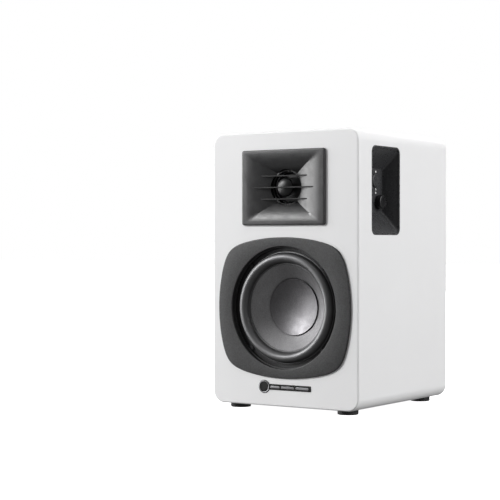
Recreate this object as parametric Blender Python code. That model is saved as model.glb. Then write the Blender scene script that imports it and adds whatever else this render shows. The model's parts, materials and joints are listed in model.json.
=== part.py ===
"""A small powered bookshelf speaker, built up from its separate pieces.

Sizes are in millimetres and become metres where a mesh is made. The front faces -Y, the side with the
control pocket faces +X, and the origin is on the floor under the middle of the whole object.
Depths are counted rearwards from the front face of the baffle, and heights upwards from the underside
of the cabinet.
"""

import math

import bmesh
import bpy
from mathutils import Vector

MM = 0.001
GAP = 0.3
CORNER_STEPS = 4
ROUND_STEPS = 40
FRAME_STEPS = 24
FINE_STEPS = 20
SMALL_STEPS = 8
SMOOTH_ANGLE = math.radians(32)

# Cabinet
CABINET_WIDTH = 126.0
CABINET_HEIGHT = 201.5
CABINET_DEPTH = 137.0
LONG_EDGE_RADIUS = 9.0
FACE_EDGE_RADIUS = 1.25
WALL = 9.0
INNER_EDGE_RADIUS = 2.0
REBATE_LIP = 1.5
BAFFLE_THICKNESS = 12.0
REAR_THICKNESS = 9.0
PAD_THICKNESS = 8.0
PAD_CLEARANCE = 1.0
PAD_WIDTH = 60.0
PAD_DEPTH = 70.0
PAD_RADIUS = 8.0
PAD_FRONT = 40.0

# Feet
FOOT_HEIGHT = 3.5
FOOT_RADIUS = 7.6
FOOT_EDGE = 0.7
FOOT_X = 46.7
FOOT_INSET = 13.0

# Badge
BADGE_DISC_RADIUS = 4.8
BADGE_DISC_X = -16.9
BADGE_Z = 14.1
BADGE_BAR_HEIGHT = 4.1
BADGE_BAR_END = 23.4
BADGE_PROUD = 0.4
BADGE_SEAT = 0.6
BADGE_BAR_RADIUS = 0.6

# Horn
TWEETER_Z = 160.4
FLANGE_WIDTH = 72.4
FLANGE_HEIGHT = 55.3
FLANGE_RADIUS = 1.8
FLANGE_PROUD = 2.0
FLANGE_EDGE = 1.0
BOSS_WIDTH = 50.0
BOSS_HEIGHT = 44.0
BOSS_RADIUS = 6.0
BOSS_DEPTH = 8.0
MOUTH_HALF_WIDTH = 32.0
MOUTH_HALF_HEIGHT = 25.2
THROAT_RADIUS = 13.4
FLARE_DEPTH = 5.0
FLARE_POWER = 1.75
FLARE_OVERRUN = 1.3
FLARE_STEPS = 10

# Diffuser
VANE_THICKNESS = 0.85
VANE_SPACING = 8.5
MIDDLE_VANE_FRONT = -1.35
OUTER_VANE_FRONT = 0.35
VANE_BACK = 7.3
PLUG_RADIUS = 6.9
PLUG_TIP = -0.5
PLUG_SHOULDER = 2.6
PLUG_STEPS = 5
PLUG_TAIL_RADIUS = 4.0
THROAT_RING_FRONT = 5.2
THROAT_RING_WALL = 1.5

# Tweeter drive unit
DOME_RADIUS = 10.9
DOME_RISE = 2.6
DOME_THICKNESS = 0.4
DOME_RIM = 11.3
DOME_STEPS = 4
TWEETER_FRAME_RADIUS = 20.0
TWEETER_FRAME_THICKNESS = 2.0
TWEETER_BORE = 11.4
TWEETER_FRAME_CHAMFER = 0.8
TWEETER_COIL_LENGTH = 4.0
TWEETER_COIL_WALL = 0.35
TWEETER_PLATE_RADIUS = 17.0
TWEETER_PLATE_THICKNESS = 2.4
TWEETER_MAGNET_RADIUS = 16.0
TWEETER_MAGNET_BORE = 12.6
TWEETER_MAGNET_LENGTH = 6.0
TWEETER_YOKE_THICKNESS = 2.5
TWEETER_POLE_RADIUS = 10.1
TWEETER_POLE_SETBACK = 1.2

# Woofer trim ring
WOOFER_Z = 72.4
RING_HALF_WIDTH = 57.0
RING_HALF_HEIGHT = 51.6
RING_TOP_BOW = 155.0
RING_SIDE_BOW = 117.0
RING_CORNER_POWER = 16.0
RING_PROUD = 1.4
RING_EDGE = 0.7
RING_OPENING = 45.0
RING_CHAMFER = 0.5
RING_COLLAR_RADIUS = 46.6
RING_COLLAR_DEPTH = 3.6

# Woofer drive unit
COUNTERBORE_RADIUS = 47.0
COUNTERBORE_DEPTH = 6.0
WOOFER_HOLE_RADIUS = 39.2
BASKET_RADIUS = 46.0
BASKET_FLANGE_FRONT = 4.5
BASKET_SHEET = 1.2
BASKET_THROAT = 37.4
BASKET_WAIST = 31.0
SPIDER_LEDGE = 25.2
SPIDER_LEDGE_RADIUS = 28.0
BASKET_BACK = 29.0
BASKET_BORE = 14.0
BASKET_WINDOW_WIDTH = 22.0
BASKET_WINDOW_FRONT = 10.0
BASKET_WINDOW_BACK = 21.0
SURROUND_INNER = 32.8
SURROUND_OUTER = 40.6
SURROUND_LIP = 41.1
SURROUND_EDGE_Y = 4.2
SURROUND_CREST_Y = -0.7
SURROUND_SHEET = 0.6
SURROUND_STEPS = 6
CONE_RADIUS = 32.4
CONE_EDGE_Y = 5.0
CONE_NECK_RADIUS = 13.1
CONE_NECK_Y = 20.0
CONE_BOW = 0.6
CONE_STEPS = 3
CONE_SHEET = 0.9
CAP_RADIUS = 20.5
CAP_EDGE_Y = 13.3
CAP_CENTRE_Y = 17.6
CAP_SHEET = 0.5
CAP_STEPS = 4
COIL_RADIUS = 12.7
COIL_SHEET = 0.35
COIL_FRONT = 19.0
COIL_BACK = 39.0
WINDING_RADIUS = 13.2
WINDING_FRONT = 29.0
WINDING_BACK = 37.0
SPIDER_SHEET = 0.5
SPIDER_WAVES = 2
SPIDER_WAVE_HEIGHT = 1.0
SPIDER_OUTER = 30.2
SPIDER_STEPS = 9
TOP_PLATE_RADIUS = 32.5
TOP_PLATE_BORE = 13.7
TOP_PLATE_THICKNESS = 5.0
MAGNET_RADIUS = 35.0
MAGNET_BORE = 17.0
MAGNET_LENGTH = 12.0
BACK_PLATE_THICKNESS = 4.0
POLE_RADIUS = 11.8
SCREW_CIRCLE = 42.9
SCREW_HEAD_RADIUS = 1.45
SCREW_HEAD_HEIGHT = 1.0
SCREW_SHANK_RADIUS = 0.8
SCREW_LENGTH = 6.5
SCREW_CLEARANCE = 0.3

# Control pocket
POCKET_FRONT = 18.6
POCKET_BACK = 61.0
POCKET_BOTTOM = 125.5
POCKET_TOP = 190.1
POCKET_RADIUS = 5.0
POCKET_RIM = 1.2
POCKET_RIM_DEPTH = 0.8
POCKET_DEPTH = 12.5
POCKET_FLOOR_FRONT = 23.0
POCKET_FLOOR_BACK = 56.6
POCKET_FLOOR_BOTTOM = 141.9
POCKET_FLOOR_TOP = 174.5
POCKET_FLOOR_RADIUS = 5.0
POCKET_SHELL = 2.0
KNOB_Y = 50.2
KNOB_Z = 149.9
KNOB_RADIUS = 5.2
KNOB_HEIGHT = 4.7
KNOB_EDGE = 0.7
KNOB_FLUTES = 12
KNOB_SHAFT_RADIUS = 3.0
KNOB_SHAFT_LENGTH = 10.5
ENCODER_SIZE = 11.6
ENCODER_DEPTH = 7.5
BUTTON_Y = 45.5
BUTTON_Z = 165.7
BUTTON_RADIUS = 5.0
BUTTON_PROUD = 1.3
BUTTON_EDGE = 0.4
BUTTON_CAP = 4.5
BUTTON_STEM_RADIUS = 2.0
BUTTON_STEM_LENGTH = 6.5
LENS_RADIUS = 0.75
LENS_Y = 46.8
LENS_HEIGHTS = (156.6, 159.2, 172.2)
LENS_PROUD = 0.25
LIGHT_PIPE_THICKNESS = 1.4
LIGHT_PIPE_HOLE = 6.0
JACK_Y = 31.0
JACK_Z = 150.0
JACK_COLLAR_RADIUS = 4.0
JACK_COLLAR_PROUD = 0.5
JACK_BORE = 1.8
JACK_BODY = 11.0
JACK_BODY_DEPTH = 10.0
CONTROL_BOARD_THICKNESS = 1.6
CONTROL_BOARD_STANDOFF = 12.0

# Rear side
REAR_REACH = 10.0
PLATE_WIDTH = 96.0
PLATE_HEIGHT = 118.0
PLATE_Z = 72.0
PLATE_RADIUS = 5.0
PLATE_THICKNESS = 2.0
PLATE_OVERLAP = 7.0
PLATE_SCREW_INSET = 3.6
PLATE_SCREW_HEAD = 2.4
PLATE_SCREW_SHANK = 1.2
PLATE_SCREW_LENGTH = 9.0
AMPLIFIER_BOARD_GAP = 16.0
AMPLIFIER_BOARD_WIDTH = 78.0
AMPLIFIER_BOARD_HEIGHT = 96.0
BOARD_THICKNESS = 1.6
RCA_Z = 108.0
RCA_X = 25.0
RCA_PITCH = 18.0
RCA_SLEEVE_RADIUS = 4.2
RCA_BORE = 3.2
RCA_BORE_DEPTH = 8.0
RCA_BODY = 10.0
RCA_BODY_DEPTH = 12.0
INLET_X = -24.0
INLET_Z = 32.0
INLET_WIDTH = 22.0
INLET_HEIGHT = 16.0
INLET_FLANGE = 3.0
INLET_FLANGE_THICKNESS = 2.0
INLET_DEPTH = 13.0
INLET_WALL = 1.6
INLET_SOCKET_DEPTH = 12.0
SWITCH_X = 22.0
SWITCH_Z = 32.0
SWITCH_WIDTH = 12.0
SWITCH_HEIGHT = 18.0
SWITCH_BEZEL = 2.0
SWITCH_BEZEL_THICKNESS = 2.0
SWITCH_DEPTH = 12.0
SWITCH_WALL = 1.4
ROCKER_AXIS_PROUD = 1.4
ROCKER_PROFILE = ((2.4, 6.7), (1.6, 0.0), (2.4, -6.7), (-1.5, -6.7), (-4.0, -3.0), (-4.0, 3.0), (-1.5, 6.7))
ROCKER_WELL = 5.6
TERMINAL_X = -22.0
TERMINAL_Z = 108.0
TERMINAL_WIDTH = 30.0
TERMINAL_HEIGHT = 18.0
TERMINAL_FLANGE = 1.5
TERMINAL_PROUD = 4.0
TERMINAL_DEPTH = 12.0
LEVER_WIDTH = 9.0
LEVER_LENGTH = 9.0
LEVER_THICKNESS = 2.6
LEVER_PITCH = 14.0
LEVER_SINK = 0.3
LEVER_RECESS = 3.4
LEVER_TAB = 2.0
LEVER_TAB_HEIGHT = 2.5
LEVER_PIN_RADIUS = 0.7
LEVER_PIN_REACH = 1.2
LEVER_PIN_DROP = 1.3
WIRE_HOLE_RADIUS = 1.6
WIRE_HOLE_DEPTH = 8.0
INLET_PIN_RADIUS = 1.0
INLET_PIN_PITCH = 8.6
INLET_PIN_LENGTH = 9.0
PORT_Z = 165.0
PORT_RADIUS = 13.0
PORT_WALL = 1.8
PORT_FLANGE_RADIUS = 22.0
PORT_FLANGE_THICKNESS = 2.2
PORT_FLARE = 5.0
PORT_LENGTH = 62.0
PORT_STEPS = 5
CONNECTOR_EDGE = 1.0
HEAT_SINK_WIDTH = 34.0
HEAT_SINK_HEIGHT = 40.0
HEAT_SINK_DEPTH = 22.0
HEAT_SINK_BASE = 3.0
HEAT_SINK_FIN = 1.6
HEAT_SINK_FINS = 6
HEAT_SINK_X = -20.0
HEAT_SINK_Z = 76.0
CAPACITOR_RADIUS = 7.0
CAPACITOR_LENGTH = 24.0
CAPACITOR_X = 14.0
CAPACITOR_PITCH = 18.0
CAPACITOR_Z = 84.0
TRANSFORMER_WIDTH = 44.0
TRANSFORMER_HEIGHT = 34.0
TRANSFORMER_DEPTH = 26.0
TRANSFORMER_Z = 32.0
TRANSFORMER_COIL_OVERHANG = 4.0
TRANSFORMER_COIL_WIDTH = 26.0
TRANSFORMER_COIL_HEIGHT = 22.0
LEAD_RADIUS = 1.1
LEAD_STEPS = 8
LEAD_REFERENCE = (0.31, 0.17, 0.93)
LEADS = {
    "woofer_lead": [(0, 26.0, 105.2), (0, 26.0, 110), (0, 60, 122), (0, 100, 122), (0, 112, 114)],
    "tweeter_lead": [(10, 22.7, 152), (10, 28, 152), (16, 45, 135), (20, 100, 128), (20, 112, 115)],
    "control_cable": [(34.1, 45, 158), (28, 45, 158), (28, 60, 140), (28, 100, 124), (28, 112, 112)],
}

# Where the measures above meet the world
BAFFLE_Y = FLANGE_PROUD - (CABINET_DEPTH + FLANGE_PROUD + REAR_REACH) / 2
HALF_WIDTH = CABINET_WIDTH / 2
REAR_FACE = CABINET_DEPTH
MIDDLE_HEIGHT = CABINET_HEIGHT / 2

# Colour, roughness and metallic value of each finish
FINISHES = {
    "white_laminate": ((0.86, 0.86, 0.86), 0.42, 0.0),
    "satin_black_plastic": ((0.075, 0.077, 0.08), 0.48, 0.0),
    "pocket_plastic": ((0.03, 0.031, 0.033), 0.36, 0.0),
    "black_rubber": ((0.018, 0.018, 0.019), 0.55, 0.0),
    "foot_rubber": ((0.018, 0.018, 0.019), 0.7, 0.0),
    "cone_paper": ((0.045, 0.046, 0.05), 0.5, 0.0),
    "badge_plastic": ((0.03, 0.03, 0.03), 0.35, 0.0),
    "silk_dome": ((0.035, 0.035, 0.04), 0.6, 0.0),
    "voice_coil": ((0.7, 0.38, 0.17), 0.35, 1.0),
    "plated_steel": ((0.6, 0.6, 0.62), 0.35, 1.0),
    "ferrite": ((0.05, 0.05, 0.055), 0.7, 0.0),
    "black_metal": ((0.03, 0.03, 0.032), 0.45, 0.6),
    "spider_cloth": ((0.55, 0.42, 0.2), 0.85, 0.0),
    "circuit_board": ((0.02, 0.13, 0.05), 0.5, 0.0),
    "aluminium": ((0.75, 0.75, 0.77), 0.35, 1.0),
    "light_guide": ((0.8, 0.8, 0.78), 0.25, 0.0),
    "wadding": ((0.75, 0.74, 0.7), 0.95, 0.0),
    "black_plastic": ((0.025, 0.025, 0.027), 0.4, 0.0),
    "red_plastic": ((0.55, 0.02, 0.02), 0.4, 0.0),
    "transformer_steel": ((0.25, 0.24, 0.22), 0.5, 0.7),
    "capacitor_sleeve": ((0.03, 0.05, 0.16), 0.35, 0.0),
    "wire_insulation": ((0.4, 0.03, 0.03), 0.45, 0.0),
}


def finish(name):
    """The material of that name, made the first time it is asked for."""
    found = bpy.data.materials.get(name)
    if found:
        return found
    made = bpy.data.materials.new(name)
    made.use_nodes = True
    shader = made.node_tree.nodes["Principled BSDF"]
    colour, roughness, metallic = FINISHES[name]
    shader.inputs["Base Color"].default_value = (*colour, 1.0)
    shader.inputs["Roughness"].default_value = roughness
    shader.inputs["Metallic"].default_value = metallic
    made.diffuse_color = (*colour, 1.0)
    return made


def oriented(axis, u, v, t):
    """A point whose t runs along the axis, with u and v across it in the order x, y, z."""
    return {"X": (t, u, v), "Y": (u, t, v), "Z": (u, v, t)}[axis]


def world(point):
    """Metres in the scene, from millimetres counted from the baffle face and the cabinet's underside."""
    x, y, z = point
    return Vector((x, y + BAFFLE_Y, z + FOOT_HEIGHT)) * MM


def mesh_object(name, vertices, faces, material, origin=(0, 0, 0)):
    """A closed mesh with outward faces, its origin at the given point, smooth apart from sharp edges."""
    base = world(origin)
    mesh = bpy.data.meshes.new(name)
    mesh.from_pydata([world(vertex) - base for vertex in vertices], [], faces)
    work = bmesh.new()
    work.from_mesh(mesh)
    bmesh.ops.recalc_face_normals(work, faces=work.faces)
    work.to_mesh(mesh)
    work.free()
    mesh.shade_smooth()
    mesh.set_sharp_from_angle(angle=SMOOTH_ANGLE)
    if material:
        mesh.materials.append(finish(material))
    made = bpy.data.objects.new(name, mesh)
    made.location = base
    bpy.context.collection.objects.link(made)
    return made


def loft(name, axis, sections, material, loop=False, origin=(0, 0, 0)):
    """A skin through outlines of equal count: capped at both ends, or closed on itself with loop."""
    count = len(sections[0][1])
    vertices = [oriented(axis, u, v, t) for t, outline in sections for u, v in outline]
    faces = []
    spans = len(sections) if loop else len(sections) - 1
    for ring in range(spans):
        here = ring * count
        there = (ring + 1) % len(sections) * count
        for step in range(count):
            after = (step + 1) % count
            faces.append((here + step, here + after, there + after, there + step))
    if not loop:
        last = (len(sections) - 1) * count
        faces.append(tuple(range(count)))
        faces.append(tuple(range(last, last + count)))
    return mesh_object(name, vertices, faces, material, origin)


def turned(name, axis, centre, profile, material, steps=ROUND_STEPS, origin=(0, 0, 0)):
    """A closed profile of (radius, t) points turned about the axis that passes through centre."""
    vertices = []
    rings = []
    for radius, t in profile:
        if radius == 0:
            rings.append([len(vertices)] * steps)
            vertices.append(oriented(axis, *centre, t))
            continue
        rings.append(list(range(len(vertices), len(vertices) + steps)))
        vertices += [oriented(axis, u, v, t) for u, v in circle(radius, centre, steps)]
    faces = []
    for ring, following in zip(rings, rings[1:] + rings[:1]):
        for step in range(steps):
            after = (step + 1) % steps
            corners = [ring[step], ring[after], following[after], following[step]]
            face = list(dict.fromkeys(corners))
            if len(face) > 2:
                faces.append(face)
    return mesh_object(name, vertices, faces, material, origin)


def circle(radius, centre=(0, 0), steps=ROUND_STEPS):
    turns = [2 * math.pi * step / steps for step in range(steps)]
    return [(centre[0] + radius * math.cos(turn), centre[1] + radius * math.sin(turn)) for turn in turns]


def rounded(width, height, radius, centre=(0, 0), steps=CORNER_STEPS):
    """The outline of a rectangle with rounded corners."""
    points = []
    corners = ((1, 1), (-1, 1), (-1, -1), (1, -1))
    for quarter, (side, end) in enumerate(corners):
        across = centre[0] + side * (width / 2 - radius)
        up = centre[1] + end * (height / 2 - radius)
        for step in range(steps + 1):
            turn = math.pi / 2 * (quarter + step / steps)
            points.append((across + radius * math.cos(turn), up + radius * math.sin(turn)))
    return points


def between(low, high, radius, steps=CORNER_STEPS):
    """The rounded outline that spans from the low corner to the high one."""
    centre = ((low[0] + high[0]) / 2, (low[1] + high[1]) / 2)
    return rounded(high[0] - low[0], high[1] - low[1], radius, centre, steps)


def box(name, low, high, material, edge=0.0, origin=(0, 0, 0)):
    """A block between two corners, its edges bevelled where edge is given."""
    outline = [(low[0], low[1]), (high[0], low[1]), (high[0], high[1]), (low[0], high[1])]
    made = loft(name, "Z", [(low[2], outline), (high[2], outline)], material, origin=origin)
    if edge:
        bevel = made.modifiers.new("edges", "BEVEL")
        bevel.width = edge * MM
        bevel.segments = 2
        bevel.limit_method = "ANGLE"
    return made


def combine(target, other, operation):
    """A Boolean on target with a hidden helper."""
    other.hide_render = True
    other.display_type = "WIRE"
    step = target.modifiers.new(other.name, "BOOLEAN")
    step.operation = operation
    step.solver = "EXACT"
    step.object = other


def cut(target, *cutters):
    for cutter in cutters:
        combine(target, cutter, "DIFFERENCE")


def join(target, *pieces):
    for piece in pieces:
        combine(target, piece, "UNION")


def bore(name, axis, centre, radius, start, end, steps=FINE_STEPS):
    """A round cutter."""
    outline = circle(radius, centre, steps)
    return loft(name, axis, [(start, outline), (end, outline)], None)


def slot(name, axis, low, high, start, end, radius=GAP):
    """A rounded rectangular cutter."""
    outline = between(low, high, radius)
    return loft(name, axis, [(start, outline), (end, outline)], None)


def lead(name, points, material):
    """A wire through the points."""
    places = [Vector(point) for point in points]
    vertices = []
    for index, place in enumerate(places):
        leaving = places[min(index + 1, len(places) - 1)] - places[max(index - 1, 0)]
        side = leaving.cross(Vector(LEAD_REFERENCE)).normalized()
        other = leaving.cross(side).normalized()
        for u, v in circle(LEAD_RADIUS, (0, 0), LEAD_STEPS):
            vertices.append(place + side * u + other * v)
    faces = [tuple(range(LEAD_STEPS)), tuple(range(len(vertices) - LEAD_STEPS, len(vertices)))]
    for here in range(0, len(vertices) - LEAD_STEPS, LEAD_STEPS):
        for step in range(LEAD_STEPS):
            after = (step + 1) % LEAD_STEPS
            faces.append((here + step, here + after, here + after + LEAD_STEPS, here + step + LEAD_STEPS))
    return mesh_object(name, vertices, faces, material)


def cabinet():
    """The wrapped shell, front baffle, rear panel, damping pad and feet."""
    inner_width = CABINET_WIDTH - 2 * WALL
    inner_height = CABINET_HEIGHT - 2 * WALL
    seat_width = CABINET_WIDTH - 2 * REBATE_LIP
    seat_height = CABINET_HEIGHT - 2 * REBATE_LIP
    middle = (0, MIDDLE_HEIGHT)
    outside = rounded(CABINET_WIDTH, CABINET_HEIGHT, LONG_EDGE_RADIUS, middle)
    seat = rounded(seat_width, seat_height, LONG_EDGE_RADIUS - REBATE_LIP, middle)
    inside = rounded(inner_width, inner_height, INNER_EDGE_RADIUS, middle)
    sections = []
    for step in range(CORNER_STEPS + 1):
        turn = math.pi / 2 * step / CORNER_STEPS
        inset = FACE_EDGE_RADIUS * (1 - math.sin(turn))
        depth = FACE_EDGE_RADIUS * (1 - math.cos(turn))
        outline = rounded(
            CABINET_WIDTH - 2 * inset, CABINET_HEIGHT - 2 * inset, LONG_EDGE_RADIUS - inset, middle
        )
        sections.append((depth, outline))
    sections += [
        (REAR_FACE, outside),
        (REAR_FACE, seat),
        (REAR_FACE - REAR_THICKNESS, seat),
        (REAR_FACE - REAR_THICKNESS, inside),
        (BAFFLE_THICKNESS, inside),
        (BAFFLE_THICKNESS, seat),
        (0.0, seat),
    ]
    wrap = loft("cabinet_wrap", "Y", sections, "white_laminate", loop=True)
    opening = between((POCKET_FRONT, POCKET_BOTTOM), (POCKET_BACK, POCKET_TOP), POCKET_RADIUS)
    reach = HALF_WIDTH + WALL
    cut(wrap, loft("pocket_cut", "X", [(HALF_WIDTH - 2 * WALL, opening), (reach, opening)], None))

    baffle_outline = rounded(
        seat_width - 2 * GAP, seat_height - 2 * GAP, LONG_EDGE_RADIUS - REBATE_LIP - GAP, middle
    )
    baffle_back = BAFFLE_THICKNESS - GAP
    baffle = loft(
        "front_baffle", "Y", [(0.0, baffle_outline), (baffle_back, baffle_outline)], "white_laminate"
    )
    boss_hole = rounded(
        BOSS_WIDTH + 2 * GAP, BOSS_HEIGHT + 2 * GAP, BOSS_RADIUS + GAP, (0, TWEETER_Z)
    )
    through = BAFFLE_THICKNESS + WALL
    woofer_axis = (0, WOOFER_Z)
    cut(
        baffle,
        loft("boss_cut", "Y", [(-WALL, boss_hole), (through, boss_hole)], None),
        bore("counterbore_cut", "Y", woofer_axis, COUNTERBORE_RADIUS, -WALL, COUNTERBORE_DEPTH, ROUND_STEPS),
        bore("woofer_cut", "Y", woofer_axis, WOOFER_HOLE_RADIUS, 0.0, through, ROUND_STEPS),
        badge_body("badge_seat", GAP, -WALL, BADGE_SEAT, None),
    )
    for index, (x, z) in enumerate(screw_places()):
        cut(
            baffle,
            bore(f"screw_hole_{index}", "Y", (x, z), SCREW_SHANK_RADIUS + SCREW_CLEARANCE, 0.0, through, SMALL_STEPS),
        )

    panel_front = REAR_FACE - REAR_THICKNESS + GAP
    rear = loft(
        "rear_panel", "Y", [(panel_front, baffle_outline), (REAR_FACE, baffle_outline)], "white_laminate"
    )
    plate_hole = rounded(
        PLATE_WIDTH - 2 * PLATE_OVERLAP, PLATE_HEIGHT - 2 * PLATE_OVERLAP, PLATE_RADIUS, (0, PLATE_Z)
    )
    cut(
        rear,
        loft("plate_cut", "Y", [(panel_front - WALL, plate_hole), (REAR_FACE + WALL, plate_hole)], None),
        bore("port_cut", "Y", (0, PORT_Z), PORT_RADIUS + PORT_WALL + GAP, panel_front - WALL, REAR_FACE + WALL),
    )
    for index, (x, z) in enumerate(plate_screw_places()):
        radius = PLATE_SCREW_SHANK + SCREW_CLEARANCE
        cut(rear, bore(f"plate_hole_{index}", "Y", (x, z), radius, panel_front - WALL, REAR_FACE + WALL, SMALL_STEPS))

    pad_outline = between((-PAD_WIDTH / 2, PAD_FRONT), (PAD_WIDTH / 2, PAD_FRONT + PAD_DEPTH), PAD_RADIUS)
    pad_top = CABINET_HEIGHT - WALL - PAD_CLEARANCE
    loft("damping_pad", "Z", [(pad_top - PAD_THICKNESS, pad_outline), (pad_top, pad_outline)], "wadding")

    foot_top = -GAP
    profile = [
        (0, foot_top),
        (FOOT_RADIUS, foot_top),
        (FOOT_RADIUS, -FOOT_HEIGHT + FOOT_EDGE),
        (FOOT_RADIUS - FOOT_EDGE, -FOOT_HEIGHT),
        (0, -FOOT_HEIGHT),
    ]
    for end, depth in (("front", FOOT_INSET), ("rear", CABINET_DEPTH - FOOT_INSET)):
        for side, x in (("left", -FOOT_X), ("right", FOOT_X)):
            turned(f"foot_{end}_{side}", "Z", (x, depth), profile, "foot_rubber", FINE_STEPS)


def badge_body(name, growth, front, back, material):
    """The disc with its bar, grown all round by a clearance."""
    radius = BADGE_DISC_RADIUS + growth
    half_bar = BADGE_BAR_HEIGHT / 2 + growth
    corner = BADGE_BAR_RADIUS
    meeting = math.asin(half_bar / radius)
    points = []
    for step in range(FINE_STEPS + 1):
        turn = meeting + (2 * math.pi - 2 * meeting) * step / FINE_STEPS
        points.append((BADGE_DISC_X + radius * math.cos(turn), BADGE_Z + radius * math.sin(turn)))
    end = BADGE_BAR_END + growth
    for side in (-1, 1):
        for step in range(SMALL_STEPS // 4 + 1):
            turn = math.pi / 2 * step / (SMALL_STEPS // 4)
            if side < 0:
                turn = turn - math.pi / 2
            across = end - corner + corner * math.cos(turn)
            points.append((across, BADGE_Z + side * (half_bar - corner) + corner * math.sin(turn)))
    return loft(name, "Y", [(front, points), (back, points)], material)


def screw_places():
    """The four woofer screws, on the diagonals."""
    reach = SCREW_CIRCLE / math.sqrt(2)
    return [(side * reach, WOOFER_Z + end * reach) for side in (-1, 1) for end in (-1, 1)]


def plate_screw_places():
    """The four amplifier plate screws, near its corners."""
    across = PLATE_WIDTH / 2 - PLATE_SCREW_INSET
    up = PLATE_HEIGHT / 2 - PLATE_SCREW_INSET
    return [(side * across, PLATE_Z + end * up) for side in (-1, 1) for end in (-1, 1)]


def flare_half(depth, mouth_half):
    """Half the width of the horn at a depth behind its front face."""
    share = (max(depth, 0.0) / FLARE_DEPTH) ** (1 / FLARE_POWER)
    return THROAT_RADIUS + (mouth_half - THROAT_RADIUS) * (1 - share)


def horn():
    """The flange and its flared mouth, with the boss that passes through the baffle."""
    centre = (0, TWEETER_Z)
    sections = []
    for step in range(CORNER_STEPS + 1):
        turn = math.pi / 2 * step / CORNER_STEPS
        inset = FLANGE_EDGE * (1 - math.sin(turn))
        depth = -FLANGE_PROUD + FLANGE_EDGE * (1 - math.cos(turn))
        outline = rounded(
            FLANGE_WIDTH - 2 * inset, FLANGE_HEIGHT - 2 * inset, FLANGE_RADIUS - inset / 2, centre
        )
        sections.append((depth, outline))
    boss = rounded(BOSS_WIDTH, BOSS_HEIGHT, BOSS_RADIUS, centre)
    sections += [(-GAP, sections[-1][1]), (-GAP, boss), (BOSS_DEPTH, boss)]
    body = loft("horn", "Y", sections, "satin_black_plastic")

    flare = [(-FLANGE_PROUD - 1, mouth_outline(0.0))]
    for step in range(FLARE_STEPS + 1):
        share = FLARE_OVERRUN * step / FLARE_STEPS
        flare.append((-FLANGE_PROUD + FLARE_DEPTH * share**FLARE_POWER, mouth_outline(share)))
    throat_front = FLARE_DEPTH - FLANGE_PROUD
    cut(
        body,
        loft("flare_cut", "Y", flare, None),
        bore("throat_cut", "Y", centre, THROAT_RADIUS, throat_front, BOSS_DEPTH + 1, ROUND_STEPS),
    )


def mouth_outline(share):
    """The horn's rectangle, at a share of the way from mouth to throat."""
    across = THROAT_RADIUS + (MOUTH_HALF_WIDTH - THROAT_RADIUS) * (1 - share)
    up = THROAT_RADIUS + (MOUTH_HALF_HEIGHT - THROAT_RADIUS) * (1 - share)
    return [
        (across, TWEETER_Z + up),
        (-across, TWEETER_Z + up),
        (-across, TWEETER_Z - up),
        (across, TWEETER_Z - up),
    ]


def vane(name, offset, front):
    """A thin horizontal plate that follows the horn's side walls down into the throat."""
    throat_front = FLARE_DEPTH - FLANGE_PROUD
    right = []
    for step in range(FLARE_STEPS + 1):
        depth = front + (throat_front - front) * step / FLARE_STEPS
        right.append((flare_half(depth + FLANGE_PROUD, MOUTH_HALF_WIDTH) - GAP, depth))
    chord = math.sqrt((THROAT_RADIUS - GAP) ** 2 - (abs(offset) + VANE_THICKNESS / 2) ** 2)
    right += [(chord - GAP, throat_front), (chord - GAP, VANE_BACK)]
    outline = right + [(-x, depth) for x, depth in reversed(right)]
    low = TWEETER_Z + offset - VANE_THICKNESS / 2
    return loft(name, "Z", [(low, outline), (low + VANE_THICKNESS, outline)], "satin_black_plastic")


def diffuser():
    """Three vanes and the phase plug, moulded with a ring that seats in the throat."""
    centre = (0, TWEETER_Z)
    outer = THROAT_RADIUS - GAP
    inner = outer - THROAT_RING_WALL
    ring_back = BOSS_DEPTH - GAP
    ring = turned(
        "diffuser",
        "Y",
        centre,
        [(outer, THROAT_RING_FRONT), (outer, ring_back), (inner, ring_back), (inner, THROAT_RING_FRONT)],
        "satin_black_plastic",
        FRAME_STEPS,
    )
    plug = []
    for step in range(PLUG_STEPS + 1):
        turn = math.pi / 2 * step / PLUG_STEPS
        depth = PLUG_SHOULDER - (PLUG_SHOULDER - PLUG_TIP) * math.cos(turn)
        plug.append((PLUG_RADIUS * math.sin(turn), depth))
    plug += [(PLUG_TAIL_RADIUS, VANE_BACK - GAP), (0, VANE_BACK - GAP)]
    join(
        ring,
        turned("plug_piece", "Y", centre, plug, None, FINE_STEPS),
        vane("vane_middle", 0.0, MIDDLE_VANE_FRONT),
        vane("vane_upper", VANE_SPACING, OUTER_VANE_FRONT),
        vane("vane_lower", -VANE_SPACING, OUTER_VANE_FRONT),
    )


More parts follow.
